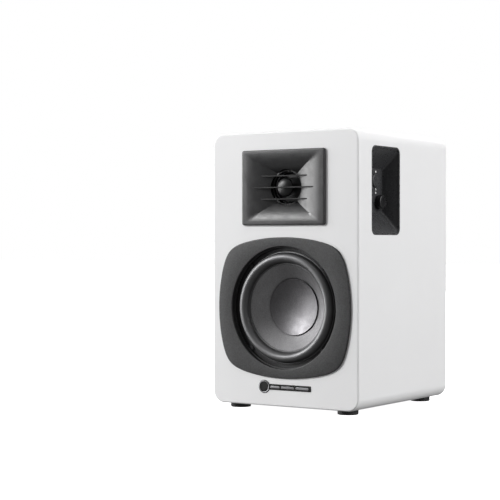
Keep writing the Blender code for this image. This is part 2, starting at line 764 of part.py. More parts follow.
def tweeter():
    """The soft dome and its motor, behind the horn."""
    centre = (0, TWEETER_Z)
    origin = (0, DOME_RIM, TWEETER_Z)
    frame_front = BOSS_DEPTH + GAP
    frame_back = frame_front + TWEETER_FRAME_THICKNESS
    turned(
        "tweeter_frame",
        "Y",
        centre,
        [
            (TWEETER_BORE + TWEETER_FRAME_CHAMFER, frame_front),
            (TWEETER_FRAME_RADIUS, frame_front),
            (TWEETER_FRAME_RADIUS, frame_back),
            (TWEETER_BORE, frame_back),
            (TWEETER_BORE, frame_front + TWEETER_FRAME_CHAMFER),
        ],
        "black_metal",
        FRAME_STEPS,
    )
    outside = []
    inside = []
    for step in range(DOME_STEPS + 1):
        turn = math.pi / 2 * step / DOME_STEPS
        depth = DOME_RIM - DOME_RISE * math.cos(turn)
        outside.append((DOME_RADIUS * math.sin(turn), depth))
        inside.append(((DOME_RADIUS - DOME_THICKNESS) * math.sin(turn), depth + DOME_THICKNESS * math.cos(turn)))
    turned("tweeter_dome", "Y", centre, outside + inside[::-1], "silk_dome", FINE_STEPS, origin)
    coil_front = DOME_RIM + GAP
    coil_back = coil_front + TWEETER_COIL_LENGTH
    coil_inner = DOME_RADIUS - TWEETER_COIL_WALL
    turned(
        "tweeter_voice_coil",
        "Y",
        centre,
        [(DOME_RADIUS, coil_front), (DOME_RADIUS, coil_back), (coil_inner, coil_back), (coil_inner, coil_front)],
        "voice_coil",
        FINE_STEPS,
        origin,
    )
    plate_front = frame_back + GAP
    plate_back = plate_front + TWEETER_PLATE_THICKNESS
    turned(
        "tweeter_top_plate",
        "Y",
        centre,
        [
            (TWEETER_BORE, plate_front),
            (TWEETER_PLATE_RADIUS, plate_front),
            (TWEETER_PLATE_RADIUS, plate_back),
            (TWEETER_BORE, plate_back),
        ],
        "plated_steel",
        FINE_STEPS,
    )
    magnet_front = plate_back + GAP
    magnet_back = magnet_front + TWEETER_MAGNET_LENGTH
    turned(
        "tweeter_magnet",
        "Y",
        centre,
        [
            (TWEETER_MAGNET_BORE, magnet_front),
            (TWEETER_MAGNET_RADIUS, magnet_front),
            (TWEETER_MAGNET_RADIUS, magnet_back),
            (TWEETER_MAGNET_BORE, magnet_back),
        ],
        "ferrite",
        FINE_STEPS,
    )
    yoke_front = magnet_back + GAP
    yoke_back = yoke_front + TWEETER_YOKE_THICKNESS
    turned(
        "tweeter_yoke",
        "Y",
        centre,
        [
            (0, plate_front + TWEETER_POLE_SETBACK),
            (TWEETER_POLE_RADIUS, plate_front + TWEETER_POLE_SETBACK),
            (TWEETER_POLE_RADIUS, yoke_front),
            (TWEETER_MAGNET_RADIUS, yoke_front),
            (TWEETER_MAGNET_RADIUS, yoke_back),
            (0, yoke_back),
        ],
        "plated_steel",
        FINE_STEPS,
    )


def bowed(reach, bow, toward):
    """How far a side that bows out on a circle of radius bow lies in a direction; toward is its cosine."""
    back = bow - reach
    return math.sqrt((toward * back) ** 2 + bow**2 - back**2) - toward * back


def trim_outline(inset):
    """The trim ring's outline: four bowed sides that blend at the corners."""
    points = []
    for step in range(ROUND_STEPS):
        turn = 2 * math.pi * step / ROUND_STEPS
        side = bowed(RING_HALF_WIDTH - inset, RING_SIDE_BOW, abs(math.cos(turn)))
        top = bowed(RING_HALF_HEIGHT - inset, RING_TOP_BOW, abs(math.sin(turn)))
        radius = (side**-RING_CORNER_POWER + top**-RING_CORNER_POWER) ** (-1 / RING_CORNER_POWER)
        points.append((radius * math.cos(turn), WOOFER_Z + radius * math.sin(turn)))
    return points


def trim_ring():
    """The plate round the woofer, with a collar that reaches in to its frame."""
    centre = (0, WOOFER_Z)
    sections = [(-GAP, trim_outline(0.0))]
    for step in range(CORNER_STEPS + 1):
        turn = math.pi / 2 * step / CORNER_STEPS
        inset = RING_EDGE * (1 - math.cos(turn))
        depth = -RING_PROUD + RING_EDGE * (1 - math.sin(turn))
        sections.append((depth, trim_outline(inset)))
    sections += [
        (-RING_PROUD, circle(RING_OPENING + RING_CHAMFER, centre)),
        (-RING_PROUD + RING_CHAMFER, circle(RING_OPENING, centre)),
        (RING_COLLAR_DEPTH, circle(RING_OPENING, centre)),
        (RING_COLLAR_DEPTH, circle(RING_COLLAR_RADIUS, centre)),
        (-GAP, circle(RING_COLLAR_RADIUS, centre)),
    ]
    loft("woofer_trim_ring", "Y", sections, "satin_black_plastic", loop=True)


def woofer_frame():
    """The basket with its windows, and its four screws."""
    centre = (0, WOOFER_Z)
    front = BASKET_FLANGE_FRONT
    sheet = BASKET_SHEET
    flange_back = front + sheet
    ledge_back = SPIDER_LEDGE + sheet
    basket = turned(
        "woofer_basket",
        "Y",
        centre,
        [
            (BASKET_THROAT, front),
            (BASKET_RADIUS, front),
            (BASKET_RADIUS, flange_back),
            (BASKET_THROAT + sheet, flange_back),
            (BASKET_WAIST + sheet, SPIDER_LEDGE),
            (BASKET_WAIST + sheet, ledge_back),
            (SPIDER_LEDGE_RADIUS + sheet, ledge_back),
            (SPIDER_LEDGE_RADIUS + sheet, BASKET_BACK),
            (BASKET_BORE, BASKET_BACK),
            (BASKET_BORE, BASKET_BACK - sheet),
            (SPIDER_LEDGE_RADIUS, BASKET_BACK - sheet),
            (SPIDER_LEDGE_RADIUS, SPIDER_LEDGE),
            (BASKET_WAIST, SPIDER_LEDGE),
        ],
        "black_metal",
        FRAME_STEPS,
    )
    half = BASKET_WINDOW_WIDTH / 2
    for name, low, high in (
        ("window_across", (-BASKET_RADIUS, WOOFER_Z - half), (BASKET_RADIUS, WOOFER_Z + half)),
        ("window_upright", (-half, WOOFER_Z - BASKET_RADIUS), (half, WOOFER_Z + BASKET_RADIUS)),
    ):
        cut(basket, slot(name, "Y", low, high, BASKET_WINDOW_FRONT, BASKET_WINDOW_BACK))
    head_back = front - GAP
    head_front = head_back - SCREW_HEAD_HEIGHT
    for index, place in enumerate(screw_places(), start=1):
        radius = SCREW_SHANK_RADIUS + SCREW_CLEARANCE
        cut(basket, bore(f"basket_hole_{index}", "Y", place, radius, 0.0, BAFFLE_THICKNESS, SMALL_STEPS))
        profile = [
            (0, head_front),
            (SCREW_HEAD_RADIUS, head_front),
            (SCREW_HEAD_RADIUS, head_back),
            (SCREW_SHANK_RADIUS, head_back),
            (SCREW_SHANK_RADIUS, head_back + SCREW_LENGTH),
            (0, head_back + SCREW_LENGTH),
        ]
        turned(f"woofer_screw_{index}", "Y", place, profile, "black_metal", SMALL_STEPS)


def woofer_cone():
    """The moving parts: cone, dust cap and voice coil, with the surround and spider that hold them."""
    centre = (0, WOOFER_Z)
    origin = (0, CONE_EDGE_Y, WOOFER_Z)
    front = []
    back = []
    for step in range(CONE_STEPS + 1):
        share = step / CONE_STEPS
        radius = CONE_RADIUS + (CONE_NECK_RADIUS - CONE_RADIUS) * share
        depth = CONE_EDGE_Y + (CONE_NECK_Y - CONE_EDGE_Y) * share + CONE_BOW * math.sin(math.pi * share)
        front.append((radius, depth))
        back.append((radius, depth + CONE_SHEET))
    turned("woofer_cone", "Y", centre, front + back[::-1], "cone_paper", origin=origin)

    face = []
    rear = []
    for step in range(CAP_STEPS + 1):
        share = step / CAP_STEPS
        depth = CAP_CENTRE_Y - (CAP_CENTRE_Y - CAP_EDGE_Y) * share**2
        face.append((CAP_RADIUS * share, depth))
        rear.append((CAP_RADIUS * share, depth + CAP_SHEET))
    turned("woofer_dust_cap", "Y", centre, face + rear[::-1], "cone_paper", FINE_STEPS, origin)

    inner = COIL_RADIUS - COIL_SHEET
    turned(
        "woofer_voice_coil",
        "Y",
        centre,
        [
            (inner, COIL_FRONT),
            (COIL_RADIUS, COIL_FRONT),
            (COIL_RADIUS, WINDING_FRONT),
            (WINDING_RADIUS, WINDING_FRONT),
            (WINDING_RADIUS, WINDING_BACK),
            (COIL_RADIUS, WINDING_BACK),
            (COIL_RADIUS, COIL_BACK),
            (inner, COIL_BACK),
        ],
        "voice_coil",
        FINE_STEPS,
        origin,
    )

    roll_centre = (SURROUND_INNER + SURROUND_OUTER) / 2
    roll_half = (SURROUND_OUTER - SURROUND_INNER) / 2
    rise = SURROUND_EDGE_Y - SURROUND_CREST_Y
    over = []
    under = []
    for step in range(SURROUND_STEPS + 1):
        turn = math.pi * (1 - step / SURROUND_STEPS)
        over.append((roll_centre + roll_half * math.cos(turn), SURROUND_EDGE_Y - rise * math.sin(turn)))
        inside = roll_half - SURROUND_SHEET
        depth = SURROUND_EDGE_Y - (rise - SURROUND_SHEET) * math.sin(turn)
        under.append((roll_centre + inside * math.cos(turn), depth))
    lip_front = SURROUND_EDGE_Y - SURROUND_SHEET
    over[-1] = (SURROUND_OUTER, lip_front)
    rim = [(SURROUND_LIP, lip_front), (SURROUND_LIP, SURROUND_EDGE_Y)]
    turned("woofer_surround", "Y", centre, over + rim + under[::-1], "black_rubber")

    near = []
    far = []
    spider_inner = COIL_RADIUS + GAP
    spider_front = SPIDER_LEDGE - GAP - SPIDER_SHEET
    for step in range(SPIDER_STEPS + 1):
        share = step / SPIDER_STEPS
        radius = spider_inner + (SPIDER_OUTER - spider_inner) * share
        swing = math.sin(2 * math.pi * SPIDER_WAVES * share) * math.sin(math.pi * share)
        depth = spider_front + SPIDER_WAVE_HEIGHT * swing
        near.append((radius, depth))
        far.append((radius, depth + SPIDER_SHEET))
    turned("woofer_spider", "Y", centre, near + far[::-1], "spider_cloth", FINE_STEPS)


def woofer_motor():
    """The top plate, magnet, and the yoke with its pole."""
    centre = (0, WOOFER_Z)
    plate_front = BASKET_BACK + GAP
    plate_back = plate_front + TOP_PLATE_THICKNESS
    magnet_front = plate_back + GAP
    magnet_back = magnet_front + MAGNET_LENGTH
    yoke_front = magnet_back + GAP
    yoke_back = yoke_front + BACK_PLATE_THICKNESS
    turned(
        "woofer_top_plate",
        "Y",
        centre,
        [
            (TOP_PLATE_BORE, plate_front),
            (TOP_PLATE_RADIUS, plate_front),
            (TOP_PLATE_RADIUS, plate_back),
            (TOP_PLATE_BORE, plate_back),
        ],
        "plated_steel",
        FINE_STEPS,
    )
    turned(
        "woofer_magnet",
        "Y",
        centre,
        [
            (MAGNET_BORE, magnet_front),
            (MAGNET_RADIUS, magnet_front),
            (MAGNET_RADIUS, magnet_back),
            (MAGNET_BORE, magnet_back),
        ],
        "ferrite",
        FINE_STEPS,
    )
    turned(
        "woofer_yoke",
        "Y",
        centre,
        [
            (0, plate_front),
            (POLE_RADIUS, plate_front),
            (POLE_RADIUS, yoke_front),
            (TOP_PLATE_RADIUS, yoke_front),
            (TOP_PLATE_RADIUS, yoke_back),
            (0, yoke_back),
        ],
        "plated_steel",
        FINE_STEPS,
    )


def control_pocket():
    """The tapered tub in the side wall, with its knob, button, jack and lights."""
    shell = POCKET_SHELL
    face = HALF_WIDTH
    floor = HALF_WIDTH - POCKET_DEPTH
    floor_back = floor - shell
    low = (POCKET_FRONT + GAP, POCKET_BOTTOM + GAP)
    high = (POCKET_BACK - GAP, POCKET_TOP - GAP)
    rim = POCKET_RIM
    mouth_low = (low[0] + rim, low[1] + rim)
    mouth_high = (high[0] - rim, high[1] - rim)
    floor_low = (POCKET_FLOOR_FRONT, POCKET_FLOOR_BOTTOM)
    floor_high = (POCKET_FLOOR_BACK, POCKET_FLOOR_TOP)
    back_low = (floor_low[0] - shell, floor_low[1] - shell)
    back_high = (floor_high[0] + shell, floor_high[1] + shell)
    outside = between(low, high, POCKET_RADIUS - GAP)
    mouth = between(mouth_low, mouth_high, POCKET_RADIUS - GAP - rim)
    housing = loft(
        "control_housing",
        "X",
        [
            (floor_back, between(back_low, back_high, POCKET_FLOOR_RADIUS)),
            (face - WALL, outside),
            (face, outside),
            (face, mouth),
            (face - POCKET_RIM_DEPTH, mouth),
            (floor, between(floor_low, floor_high, POCKET_FLOOR_RADIUS)),
        ],
        "pocket_plastic",
    )
    cut(
        housing,
        bore("knob_hole", "X", (KNOB_Y, KNOB_Z), KNOB_SHAFT_RADIUS + GAP, floor_back - 1, face),
        bore("button_hole", "X", (BUTTON_Y, BUTTON_Z), BUTTON_RADIUS + GAP, floor_back - 1, face),
        bore("jack_hole", "X", (JACK_Y, JACK_Z), JACK_COLLAR_RADIUS + GAP, floor_back - 1, face),
    )
    for index, height in enumerate(LENS_HEIGHTS):
        place = (LENS_Y, height)
        cut(housing, bore(f"lens_hole_{index}", "X", place, LENS_RADIUS + GAP, floor_back - 1, face, SMALL_STEPS))

    knob_back = floor + GAP
    knob_face = floor + KNOB_HEIGHT
    place = (KNOB_Y, KNOB_Z)
    turned(
        "volume_knob",
        "X",
        place,
        [
            (0, floor - KNOB_SHAFT_LENGTH),
            (KNOB_SHAFT_RADIUS, floor - KNOB_SHAFT_LENGTH),
            (KNOB_SHAFT_RADIUS, knob_back),
            (KNOB_RADIUS, knob_back),
            (KNOB_RADIUS, knob_face - KNOB_EDGE),
            (KNOB_RADIUS - KNOB_EDGE, knob_face),
            (0, knob_face),
        ],
        "black_plastic",
        2 * KNOB_FLUTES,
        (floor, KNOB_Y, KNOB_Z),
    )
    encoder_front = floor_back - 2 * GAP - LIGHT_PIPE_THICKNESS - GAP
    half = ENCODER_SIZE / 2
    encoder = box(
        "volume_encoder",
        (encoder_front - ENCODER_DEPTH, KNOB_Y - half, KNOB_Z - half),
        (encoder_front, KNOB_Y + half, KNOB_Z + half),
        "plated_steel",
    )
    shaft_end = floor - KNOB_SHAFT_LENGTH - GAP
    cut(encoder, bore("encoder_bore", "X", place, KNOB_SHAFT_RADIUS + GAP, shaft_end, face))

    place = (BUTTON_Y, BUTTON_Z)
    button_face = floor + BUTTON_PROUD
    cap_back = button_face - BUTTON_CAP
    turned(
        "input_button",
        "X",
        place,
        [
            (0, cap_back - BUTTON_STEM_LENGTH),
            (BUTTON_STEM_RADIUS, cap_back - BUTTON_STEM_LENGTH),
            (BUTTON_STEM_RADIUS, cap_back),
            (BUTTON_RADIUS, cap_back),
            (BUTTON_RADIUS, button_face - BUTTON_EDGE),
            (BUTTON_RADIUS - BUTTON_EDGE, button_face),
            (0, button_face),
        ],
        "pocket_plastic",
        FINE_STEPS,
        (floor, BUTTON_Y, BUTTON_Z),
    )

    pipe_front = floor_back - GAP
    pipe_back = pipe_front - LIGHT_PIPE_THICKNESS
    pipe_low = (pipe_back, BUTTON_Y - LIGHT_PIPE_HOLE - 2, LENS_HEIGHTS[0] - 1)
    pipe_high = (pipe_front, BUTTON_Y + LIGHT_PIPE_HOLE + 2, LENS_HEIGHTS[-1] + 1.5)
    pipe = box("light_pipe", pipe_low, pipe_high, "light_guide")
    for index, height in enumerate(LENS_HEIGHTS):
        lens = circle(LENS_RADIUS, (LENS_Y, height), SMALL_STEPS)
        ends = [(pipe_back + GAP, lens), (floor + LENS_PROUD, lens)]
        join(pipe, loft(f"lens_{index}", "X", ends, None))
    cut(pipe, bore("pipe_hole", "X", place, BUTTON_RADIUS + GAP, pipe_back - 1, pipe_front + GAP))

    collar_face = floor + JACK_COLLAR_PROUD
    half = JACK_BODY / 2
    body_front = floor_back - GAP
    jack = box(
        "headphone_jack",
        (body_front - JACK_BODY_DEPTH, JACK_Y - half, JACK_Z - half),
        (body_front, JACK_Y + half, JACK_Z + half),
        "black_plastic",
    )
    collar = circle(JACK_COLLAR_RADIUS, (JACK_Y, JACK_Z), FINE_STEPS)
    join(jack, loft("jack_collar", "X", [(body_front - 1, collar), (collar_face, collar)], None))
    cut(jack, bore("jack_bore", "X", (JACK_Y, JACK_Z), JACK_BORE, body_front - JACK_BODY_DEPTH + 1, face))

    board_face = floor_back - CONTROL_BOARD_STANDOFF
    margin = 2 * GAP
    box(
        "control_board",
        (board_face - CONTROL_BOARD_THICKNESS, back_low[0] + margin, back_low[1] + margin),
        (board_face, back_high[0] - margin, back_high[1] - margin),
        "circuit_board",
    )


def amplifier_plate():
    """The rear plate that closes the opening in the rear panel, with its four screws."""
    front = REAR_FACE + GAP
    back = front + PLATE_THICKNESS
    outline = rounded(PLATE_WIDTH, PLATE_HEIGHT, PLATE_RADIUS, (0, PLATE_Z))
    plate = loft("amplifier_plate", "Y", [(front, outline), (back, outline)], "black_metal")
    start = REAR_FACE - WALL
    end = REAR_FACE + WALL
    for side in (-1, 1):
        place = (RCA_X + side * RCA_PITCH / 2, RCA_Z)
        cut(plate, bore(f"rca_hole_{side + 1}", "Y", place, RCA_SLEEVE_RADIUS + GAP, start, end))
    for name, x, z, width, height in (
        ("inlet_hole", INLET_X, INLET_Z, INLET_WIDTH, INLET_HEIGHT),
        ("switch_hole", SWITCH_X, SWITCH_Z, SWITCH_WIDTH, SWITCH_HEIGHT),
        ("terminal_hole", TERMINAL_X, TERMINAL_Z, TERMINAL_WIDTH, TERMINAL_HEIGHT),
    ):
        outline = rounded(width + 2 * GAP, height + 2 * GAP, CONNECTOR_EDGE, (x, z), 2)
        cut(plate, loft(name, "Y", [(start, outline), (end, outline)], None))
    head_front = back + GAP
    head_back = head_front + SCREW_HEAD_HEIGHT
    for index, place in enumerate(plate_screw_places(), start=1):
        radius = PLATE_SCREW_SHANK + SCREW_CLEARANCE
        cut(plate, bore(f"plate_screw_hole_{index}", "Y", place, radius, start, end, SMALL_STEPS))
        profile = [
            (0, head_back),
            (PLATE_SCREW_HEAD, head_back),
            (PLATE_SCREW_HEAD, head_front),
            (PLATE_SCREW_SHANK, head_front),
            (PLATE_SCREW_SHANK, head_front - PLATE_SCREW_LENGTH),
            (0, head_front - PLATE_SCREW_LENGTH),
        ]
        turned(f"plate_screw_{index}", "Y", place, profile, "plated_steel", SMALL_STEPS)


def housing_in_plate(name, x, z, width, height, flange, flange_thickness, depth, material):
    """A connector body through the rear plate, held by a flange outside it."""
    flange_front = REAR_FACE + GAP + PLATE_THICKNESS + GAP
    body = rounded(width, height, CONNECTOR_EDGE, (x, z), 2)
    wide = rounded(width + 2 * flange, height + 2 * flange, CONNECTOR_EDGE, (x, z), 2)
    sections = [
        (flange_front - depth, body),
        (flange_front, body),
        (flange_front, wide),
        (flange_front + flange_thickness, wide),
    ]
    return loft(name, "Y", sections, material), flange_front + flange_thickness


def connectors():
    """The RCA jacks, power inlet, power switch and speaker terminals in the rear plate."""
    body_back = REAR_FACE
    half = RCA_BODY / 2
    for side, name, material in ((-1, "left", "black_plastic"), (1, "right", "red_plastic")):
        x = RCA_X + side * RCA_PITCH / 2
        place = (x, RCA_Z)
        jack = box(
            f"rca_jack_{name}",
            (x - half, body_back - RCA_BODY_DEPTH, RCA_Z - half),
            (x + half, body_back, RCA_Z + half),
            material,
        )
        tip = REAR_FACE + REAR_REACH
        sleeve = circle(RCA_SLEEVE_RADIUS, place, FINE_STEPS)
        join(jack, loft(f"rca_sleeve_{name}", "Y", [(body_back - 1, sleeve), (tip, sleeve)], None))
        cut(jack, bore(f"rca_bore_{name}", "Y", place, RCA_BORE, tip - RCA_BORE_DEPTH, tip + 1))

    inlet, face = housing_in_plate(
        "power_inlet",
        INLET_X,
        INLET_Z,
        INLET_WIDTH,
        INLET_HEIGHT,
        INLET_FLANGE,
        INLET_FLANGE_THICKNESS,
        INLET_DEPTH,
        "black_plastic",
    )
    low = (INLET_X - INLET_WIDTH / 2 + INLET_WALL, INLET_Z - INLET_HEIGHT / 2 + INLET_WALL)
    high = (INLET_X + INLET_WIDTH / 2 - INLET_WALL, INLET_Z + INLET_HEIGHT / 2 - INLET_WALL)
    well = face - INLET_SOCKET_DEPTH
    cut(inlet, slot("inlet_well", "Y", low, high, well, face + 1, CONNECTOR_EDGE))
    for side in (-1, 1):
        pin = circle(INLET_PIN_RADIUS, (INLET_X + side * INLET_PIN_PITCH / 2, INLET_Z), SMALL_STEPS)
        join(inlet, loft(f"inlet_pin_{side + 1}", "Y", [(well - 1, pin), (well + INLET_PIN_LENGTH, pin)], None))

    switch, face = housing_in_plate(
        "power_switch",
        SWITCH_X,
        SWITCH_Z,
        SWITCH_WIDTH,
        SWITCH_HEIGHT,
        SWITCH_BEZEL,
        SWITCH_BEZEL_THICKNESS,
        SWITCH_DEPTH,
        "black_plastic",
    )
    across = SWITCH_WIDTH / 2 - SWITCH_WALL
    up = SWITCH_HEIGHT / 2 - SWITCH_WALL
    axis_y = face - ROCKER_AXIS_PROUD
    low = (SWITCH_X - across, SWITCH_Z - up)
    high = (SWITCH_X + across, SWITCH_Z + up)
    cut(switch, slot("switch_well", "Y", low, high, axis_y - ROCKER_WELL, face + 1))
    outline = [(axis_y + out, SWITCH_Z + rise) for out, rise in ROCKER_PROFILE]
    sides = [(SWITCH_X - across + GAP, outline), (SWITCH_X + across - GAP, outline)]
    loft("power_rocker", "X", sides, "black_plastic", origin=(SWITCH_X, axis_y, SWITCH_Z))


def speaker_terminals():
    """The terminal block with a wire hole under each of its two levers."""
    block, face = housing_in_plate(
        "speaker_terminal",
        TERMINAL_X,
        TERMINAL_Z,
        TERMINAL_WIDTH,
        TERMINAL_HEIGHT,
        TERMINAL_FLANGE,
        TERMINAL_PROUD,
        TERMINAL_DEPTH,
        "black_plastic",
    )
    half = LEVER_THICKNESS / 2
    pin_z = TERMINAL_Z - LEVER_PIN_DROP
    pin_y = face - LEVER_SINK - half
    top = pin_z + LEVER_LENGTH
    tab = pin_y + half + LEVER_TAB
    profile = []
    for step in range(SMALL_STEPS + 1):
        turn = math.pi + math.pi * step / SMALL_STEPS
        profile.append((pin_y + half * math.cos(turn), pin_z + half * math.sin(turn)))
    profile += [
        (pin_y + half, top - LEVER_TAB_HEIGHT),
        (tab, top - LEVER_TAB_HEIGHT + half),
        (tab, top),
        (pin_y - half, top),
    ]
    for side, name, material in ((-1, "red", "red_plastic"), (1, "black", "black_plastic")):
        x = TERMINAL_X + side * LEVER_PITCH / 2
        left = x - LEVER_WIDTH / 2
        right = x + LEVER_WIDTH / 2
        low = (left - GAP, pin_z - half - GAP)
        high = (right + GAP, top + GAP)
        pin_end = LEVER_WIDTH / 2 + LEVER_PIN_REACH
        hole_end = pin_end + GAP
        place = (pin_y, pin_z)
        wire = (x, TERMINAL_Z - TERMINAL_HEIGHT / 2 + 2 * WIRE_HOLE_RADIUS)
        cut(
            block,
            slot(f"lever_recess_{name}", "Y", low, high, face - LEVER_RECESS, face + 1),
            bore(f"wire_hole_{name}", "Y", wire, WIRE_HOLE_RADIUS, face - WIRE_HOLE_DEPTH, face + 1, SMALL_STEPS),
            bore(f"pin_hole_{name}", "X", place, LEVER_PIN_RADIUS + GAP, x - hole_end, x + hole_end, SMALL_STEPS),
        )
        lever = loft(
            f"terminal_lever_{name}", "X", [(left, profile), (right, profile)], material, origin=(x, *place)
        )
        pin = circle(LEVER_PIN_RADIUS, place, SMALL_STEPS)
        join(lever, loft(f"lever_pin_{name}", "X", [(x - pin_end, pin), (x + pin_end, pin)], None))


def bass_port():
    """The flared tube in the rear panel."""
    flange_front = REAR_FACE + GAP
    face = flange_front + PORT_FLANGE_THICKNESS
    outer = PORT_RADIUS + PORT_WALL
    inner_end = face - PORT_LENGTH
    profile = [
        (outer, inner_end),
        (outer, flange_front),
        (PORT_FLANGE_RADIUS, flange_front),
        (PORT_FLANGE_RADIUS, face - PORT_WALL / 2),
        (PORT_FLANGE_RADIUS - PORT_WALL / 2, face),
    ]
    for step in range(PORT_STEPS + 1):
        turn = math.pi / 2 * step / PORT_STEPS
        profile.append((PORT_RADIUS + PORT_FLARE * (1 - math.sin(turn)), face - PORT_FLARE * (1 - math.cos(turn))))
    profile.append((PORT_RADIUS, inner_end))
    turned("bass_port", "Y", (0, PORT_Z), profile, "black_plastic", FINE_STEPS)


def electronics():
    """The amplifier board with its heat sink, capacitors and transformer, and the leads inside."""
    board_back = REAR_FACE + GAP - AMPLIFIER_BOARD_GAP
    board_front = board_back - BOARD_THICKNESS
    box(
        "amplifier_board",
        (-AMPLIFIER_BOARD_WIDTH / 2, board_front, PLATE_Z - AMPLIFIER_BOARD_HEIGHT / 2),
        (AMPLIFIER_BOARD_WIDTH / 2, board_back, PLATE_Z + AMPLIFIER_BOARD_HEIGHT / 2),
        "circuit_board",
    )
    seat = board_front - GAP
    left = HEAT_SINK_X - HEAT_SINK_WIDTH / 2
    low = HEAT_SINK_Z - HEAT_SINK_HEIGHT / 2
    high = HEAT_SINK_Z + HEAT_SINK_HEIGHT / 2
    pitch = (HEAT_SINK_WIDTH - HEAT_SINK_FIN) / (HEAT_SINK_FINS - 1)
    base_front = seat - HEAT_SINK_BASE
    outline = [(left, seat), (left, seat - HEAT_SINK_DEPTH)]
    for fin in range(HEAT_SINK_FINS):
        start = left + fin * pitch
        if fin:
            outline += [(start, base_front), (start, seat - HEAT_SINK_DEPTH)]
        outline.append((start + HEAT_SINK_FIN, seat - HEAT_SINK_DEPTH))
        if fin < HEAT_SINK_FINS - 1:
            outline.append((start + HEAT_SINK_FIN, base_front))
    outline.append((left + HEAT_SINK_WIDTH, seat))
    loft("heat_sink", "Z", [(low, outline), (high, outline)], "aluminium")

    for index in range(2):
        place = (CAPACITOR_X + index * CAPACITOR_PITCH, CAPACITOR_Z)
        top = seat - CAPACITOR_LENGTH
        profile = [
            (0, seat),
            (CAPACITOR_RADIUS, seat),
            (CAPACITOR_RADIUS, top + FOOT_EDGE),
            (CAPACITOR_RADIUS - FOOT_EDGE, top),
            (0, top),
        ]
        turned(f"filter_capacitor_{index + 1}", "Y", place, profile, "capacitor_sleeve", FINE_STEPS)

    core_back = seat - TRANSFORMER_COIL_OVERHANG
    core_front = core_back - TRANSFORMER_DEPTH
    transformer = box(
        "transformer",
        (-TRANSFORMER_WIDTH / 2, core_front, TRANSFORMER_Z - TRANSFORMER_HEIGHT / 2),
        (TRANSFORMER_WIDTH / 2, core_back, TRANSFORMER_Z + TRANSFORMER_HEIGHT / 2),
        "transformer_steel",
    )
    winding = box(
        "transformer_winding",
        (-TRANSFORMER_COIL_WIDTH / 2, core_front - TRANSFORMER_COIL_OVERHANG, TRANSFORMER_Z - TRANSFORMER_COIL_HEIGHT / 2),
        (TRANSFORMER_COIL_WIDTH / 2, seat, TRANSFORMER_Z + TRANSFORMER_COIL_HEIGHT / 2),
        None,
    )
    join(transformer, winding)

    for name, points in LEADS.items():
        lead(name, points + [(points[-1][0], seat, points[-1][2])], "wire_insulation")


def main():
    for obj in list(bpy.data.objects):
        bpy.data.objects.remove(obj, do_unlink=True)
    cabinet()
    badge_body("badge", 0.0, -BADGE_PROUD, BADGE_SEAT - GAP, "badge_plastic")
    horn()
    diffuser()
    tweeter()
    trim_ring()
    woofer_frame()
    woofer_cone()
    woofer_motor()
    control_pocket()
    amplifier_plate()
    connectors()
    speaker_terminals()
    bass_port()
    electronics()


main()
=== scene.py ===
"""Looks of the powered bookshelf speaker: fine meshes, procedural materials, studio light and camera.

Lengths in the constants and in the builders are in millimetres, counted rearwards from the front face of
the baffle and upwards from the underside of the cabinet. They become metres where a mesh is made.
"""

import json
import math

import bmesh
import bpy
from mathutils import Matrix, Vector

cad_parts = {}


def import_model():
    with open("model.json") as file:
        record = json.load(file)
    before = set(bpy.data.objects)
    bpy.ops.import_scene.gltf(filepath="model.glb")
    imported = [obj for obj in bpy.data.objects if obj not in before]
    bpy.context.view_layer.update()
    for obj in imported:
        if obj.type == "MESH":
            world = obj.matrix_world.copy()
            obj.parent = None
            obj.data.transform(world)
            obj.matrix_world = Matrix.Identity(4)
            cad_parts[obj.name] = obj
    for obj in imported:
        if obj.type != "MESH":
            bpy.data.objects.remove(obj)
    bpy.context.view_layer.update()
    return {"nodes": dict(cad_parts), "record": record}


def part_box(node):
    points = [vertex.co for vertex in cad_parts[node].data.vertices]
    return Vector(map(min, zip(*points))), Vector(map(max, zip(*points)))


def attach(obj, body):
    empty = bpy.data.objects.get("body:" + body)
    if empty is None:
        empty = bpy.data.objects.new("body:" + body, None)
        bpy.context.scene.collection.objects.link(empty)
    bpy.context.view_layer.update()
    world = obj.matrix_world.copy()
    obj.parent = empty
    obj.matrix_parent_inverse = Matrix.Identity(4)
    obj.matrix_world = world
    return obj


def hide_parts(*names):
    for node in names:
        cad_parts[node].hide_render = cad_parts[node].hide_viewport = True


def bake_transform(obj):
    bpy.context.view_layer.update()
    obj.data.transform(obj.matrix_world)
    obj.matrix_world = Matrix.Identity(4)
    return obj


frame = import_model()
NODES = frame["nodes"]

MM = 0.001
# Steps round a turned piece, by its size
ROUND = 160
MEDIUM = 96
SMALL = 40
TINY = 10
# Steps along a rounded corner, a small edge and a long curve
CORNER = 14
EDGE = 6
FACE_EDGE_STEPS = 8
ROLL = 16
CURVE = 24
SHARP_ANGLE = math.radians(28)
# Air left between a piece and what it rests on, and round a piece that sits in a hole
SEAT_GAP = 0.02
FIT = 0.05


def middle(low, high):
    """The point halfway between two corners."""
    return (Vector(low) + Vector(high)) / 2


# The baffle's front face and the cabinet's underside give the two offsets of the shared frame.
SHELL_LOW, SHELL_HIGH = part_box("cabinet_wrap")
BAFFLE_Y = SHELL_LOW[1] / MM
FOOT_TOP = SHELL_LOW[2] / MM
WIDTH = (SHELL_HIGH[0] - SHELL_LOW[0]) / MM
HEIGHT = (SHELL_HIGH[2] - SHELL_LOW[2]) / MM
DEPTH = (SHELL_HIGH[1] - SHELL_LOW[1]) / MM


def local_box(node):
    """A CAD node's lowest and highest corners in the builders' millimetres."""
    low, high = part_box(node)
    shift = Vector((0, BAFFLE_Y, FOOT_TOP))
    return Vector(low) / MM - shift, Vector(high) / MM - shift


# ---------------------------------------------------------------- meshes


def world(point):
    """A point of the builders in the shared frame's metres."""
    x, y, z = point
    return Vector((x, y + BAFFLE_Y, z + FOOT_TOP)) * MM


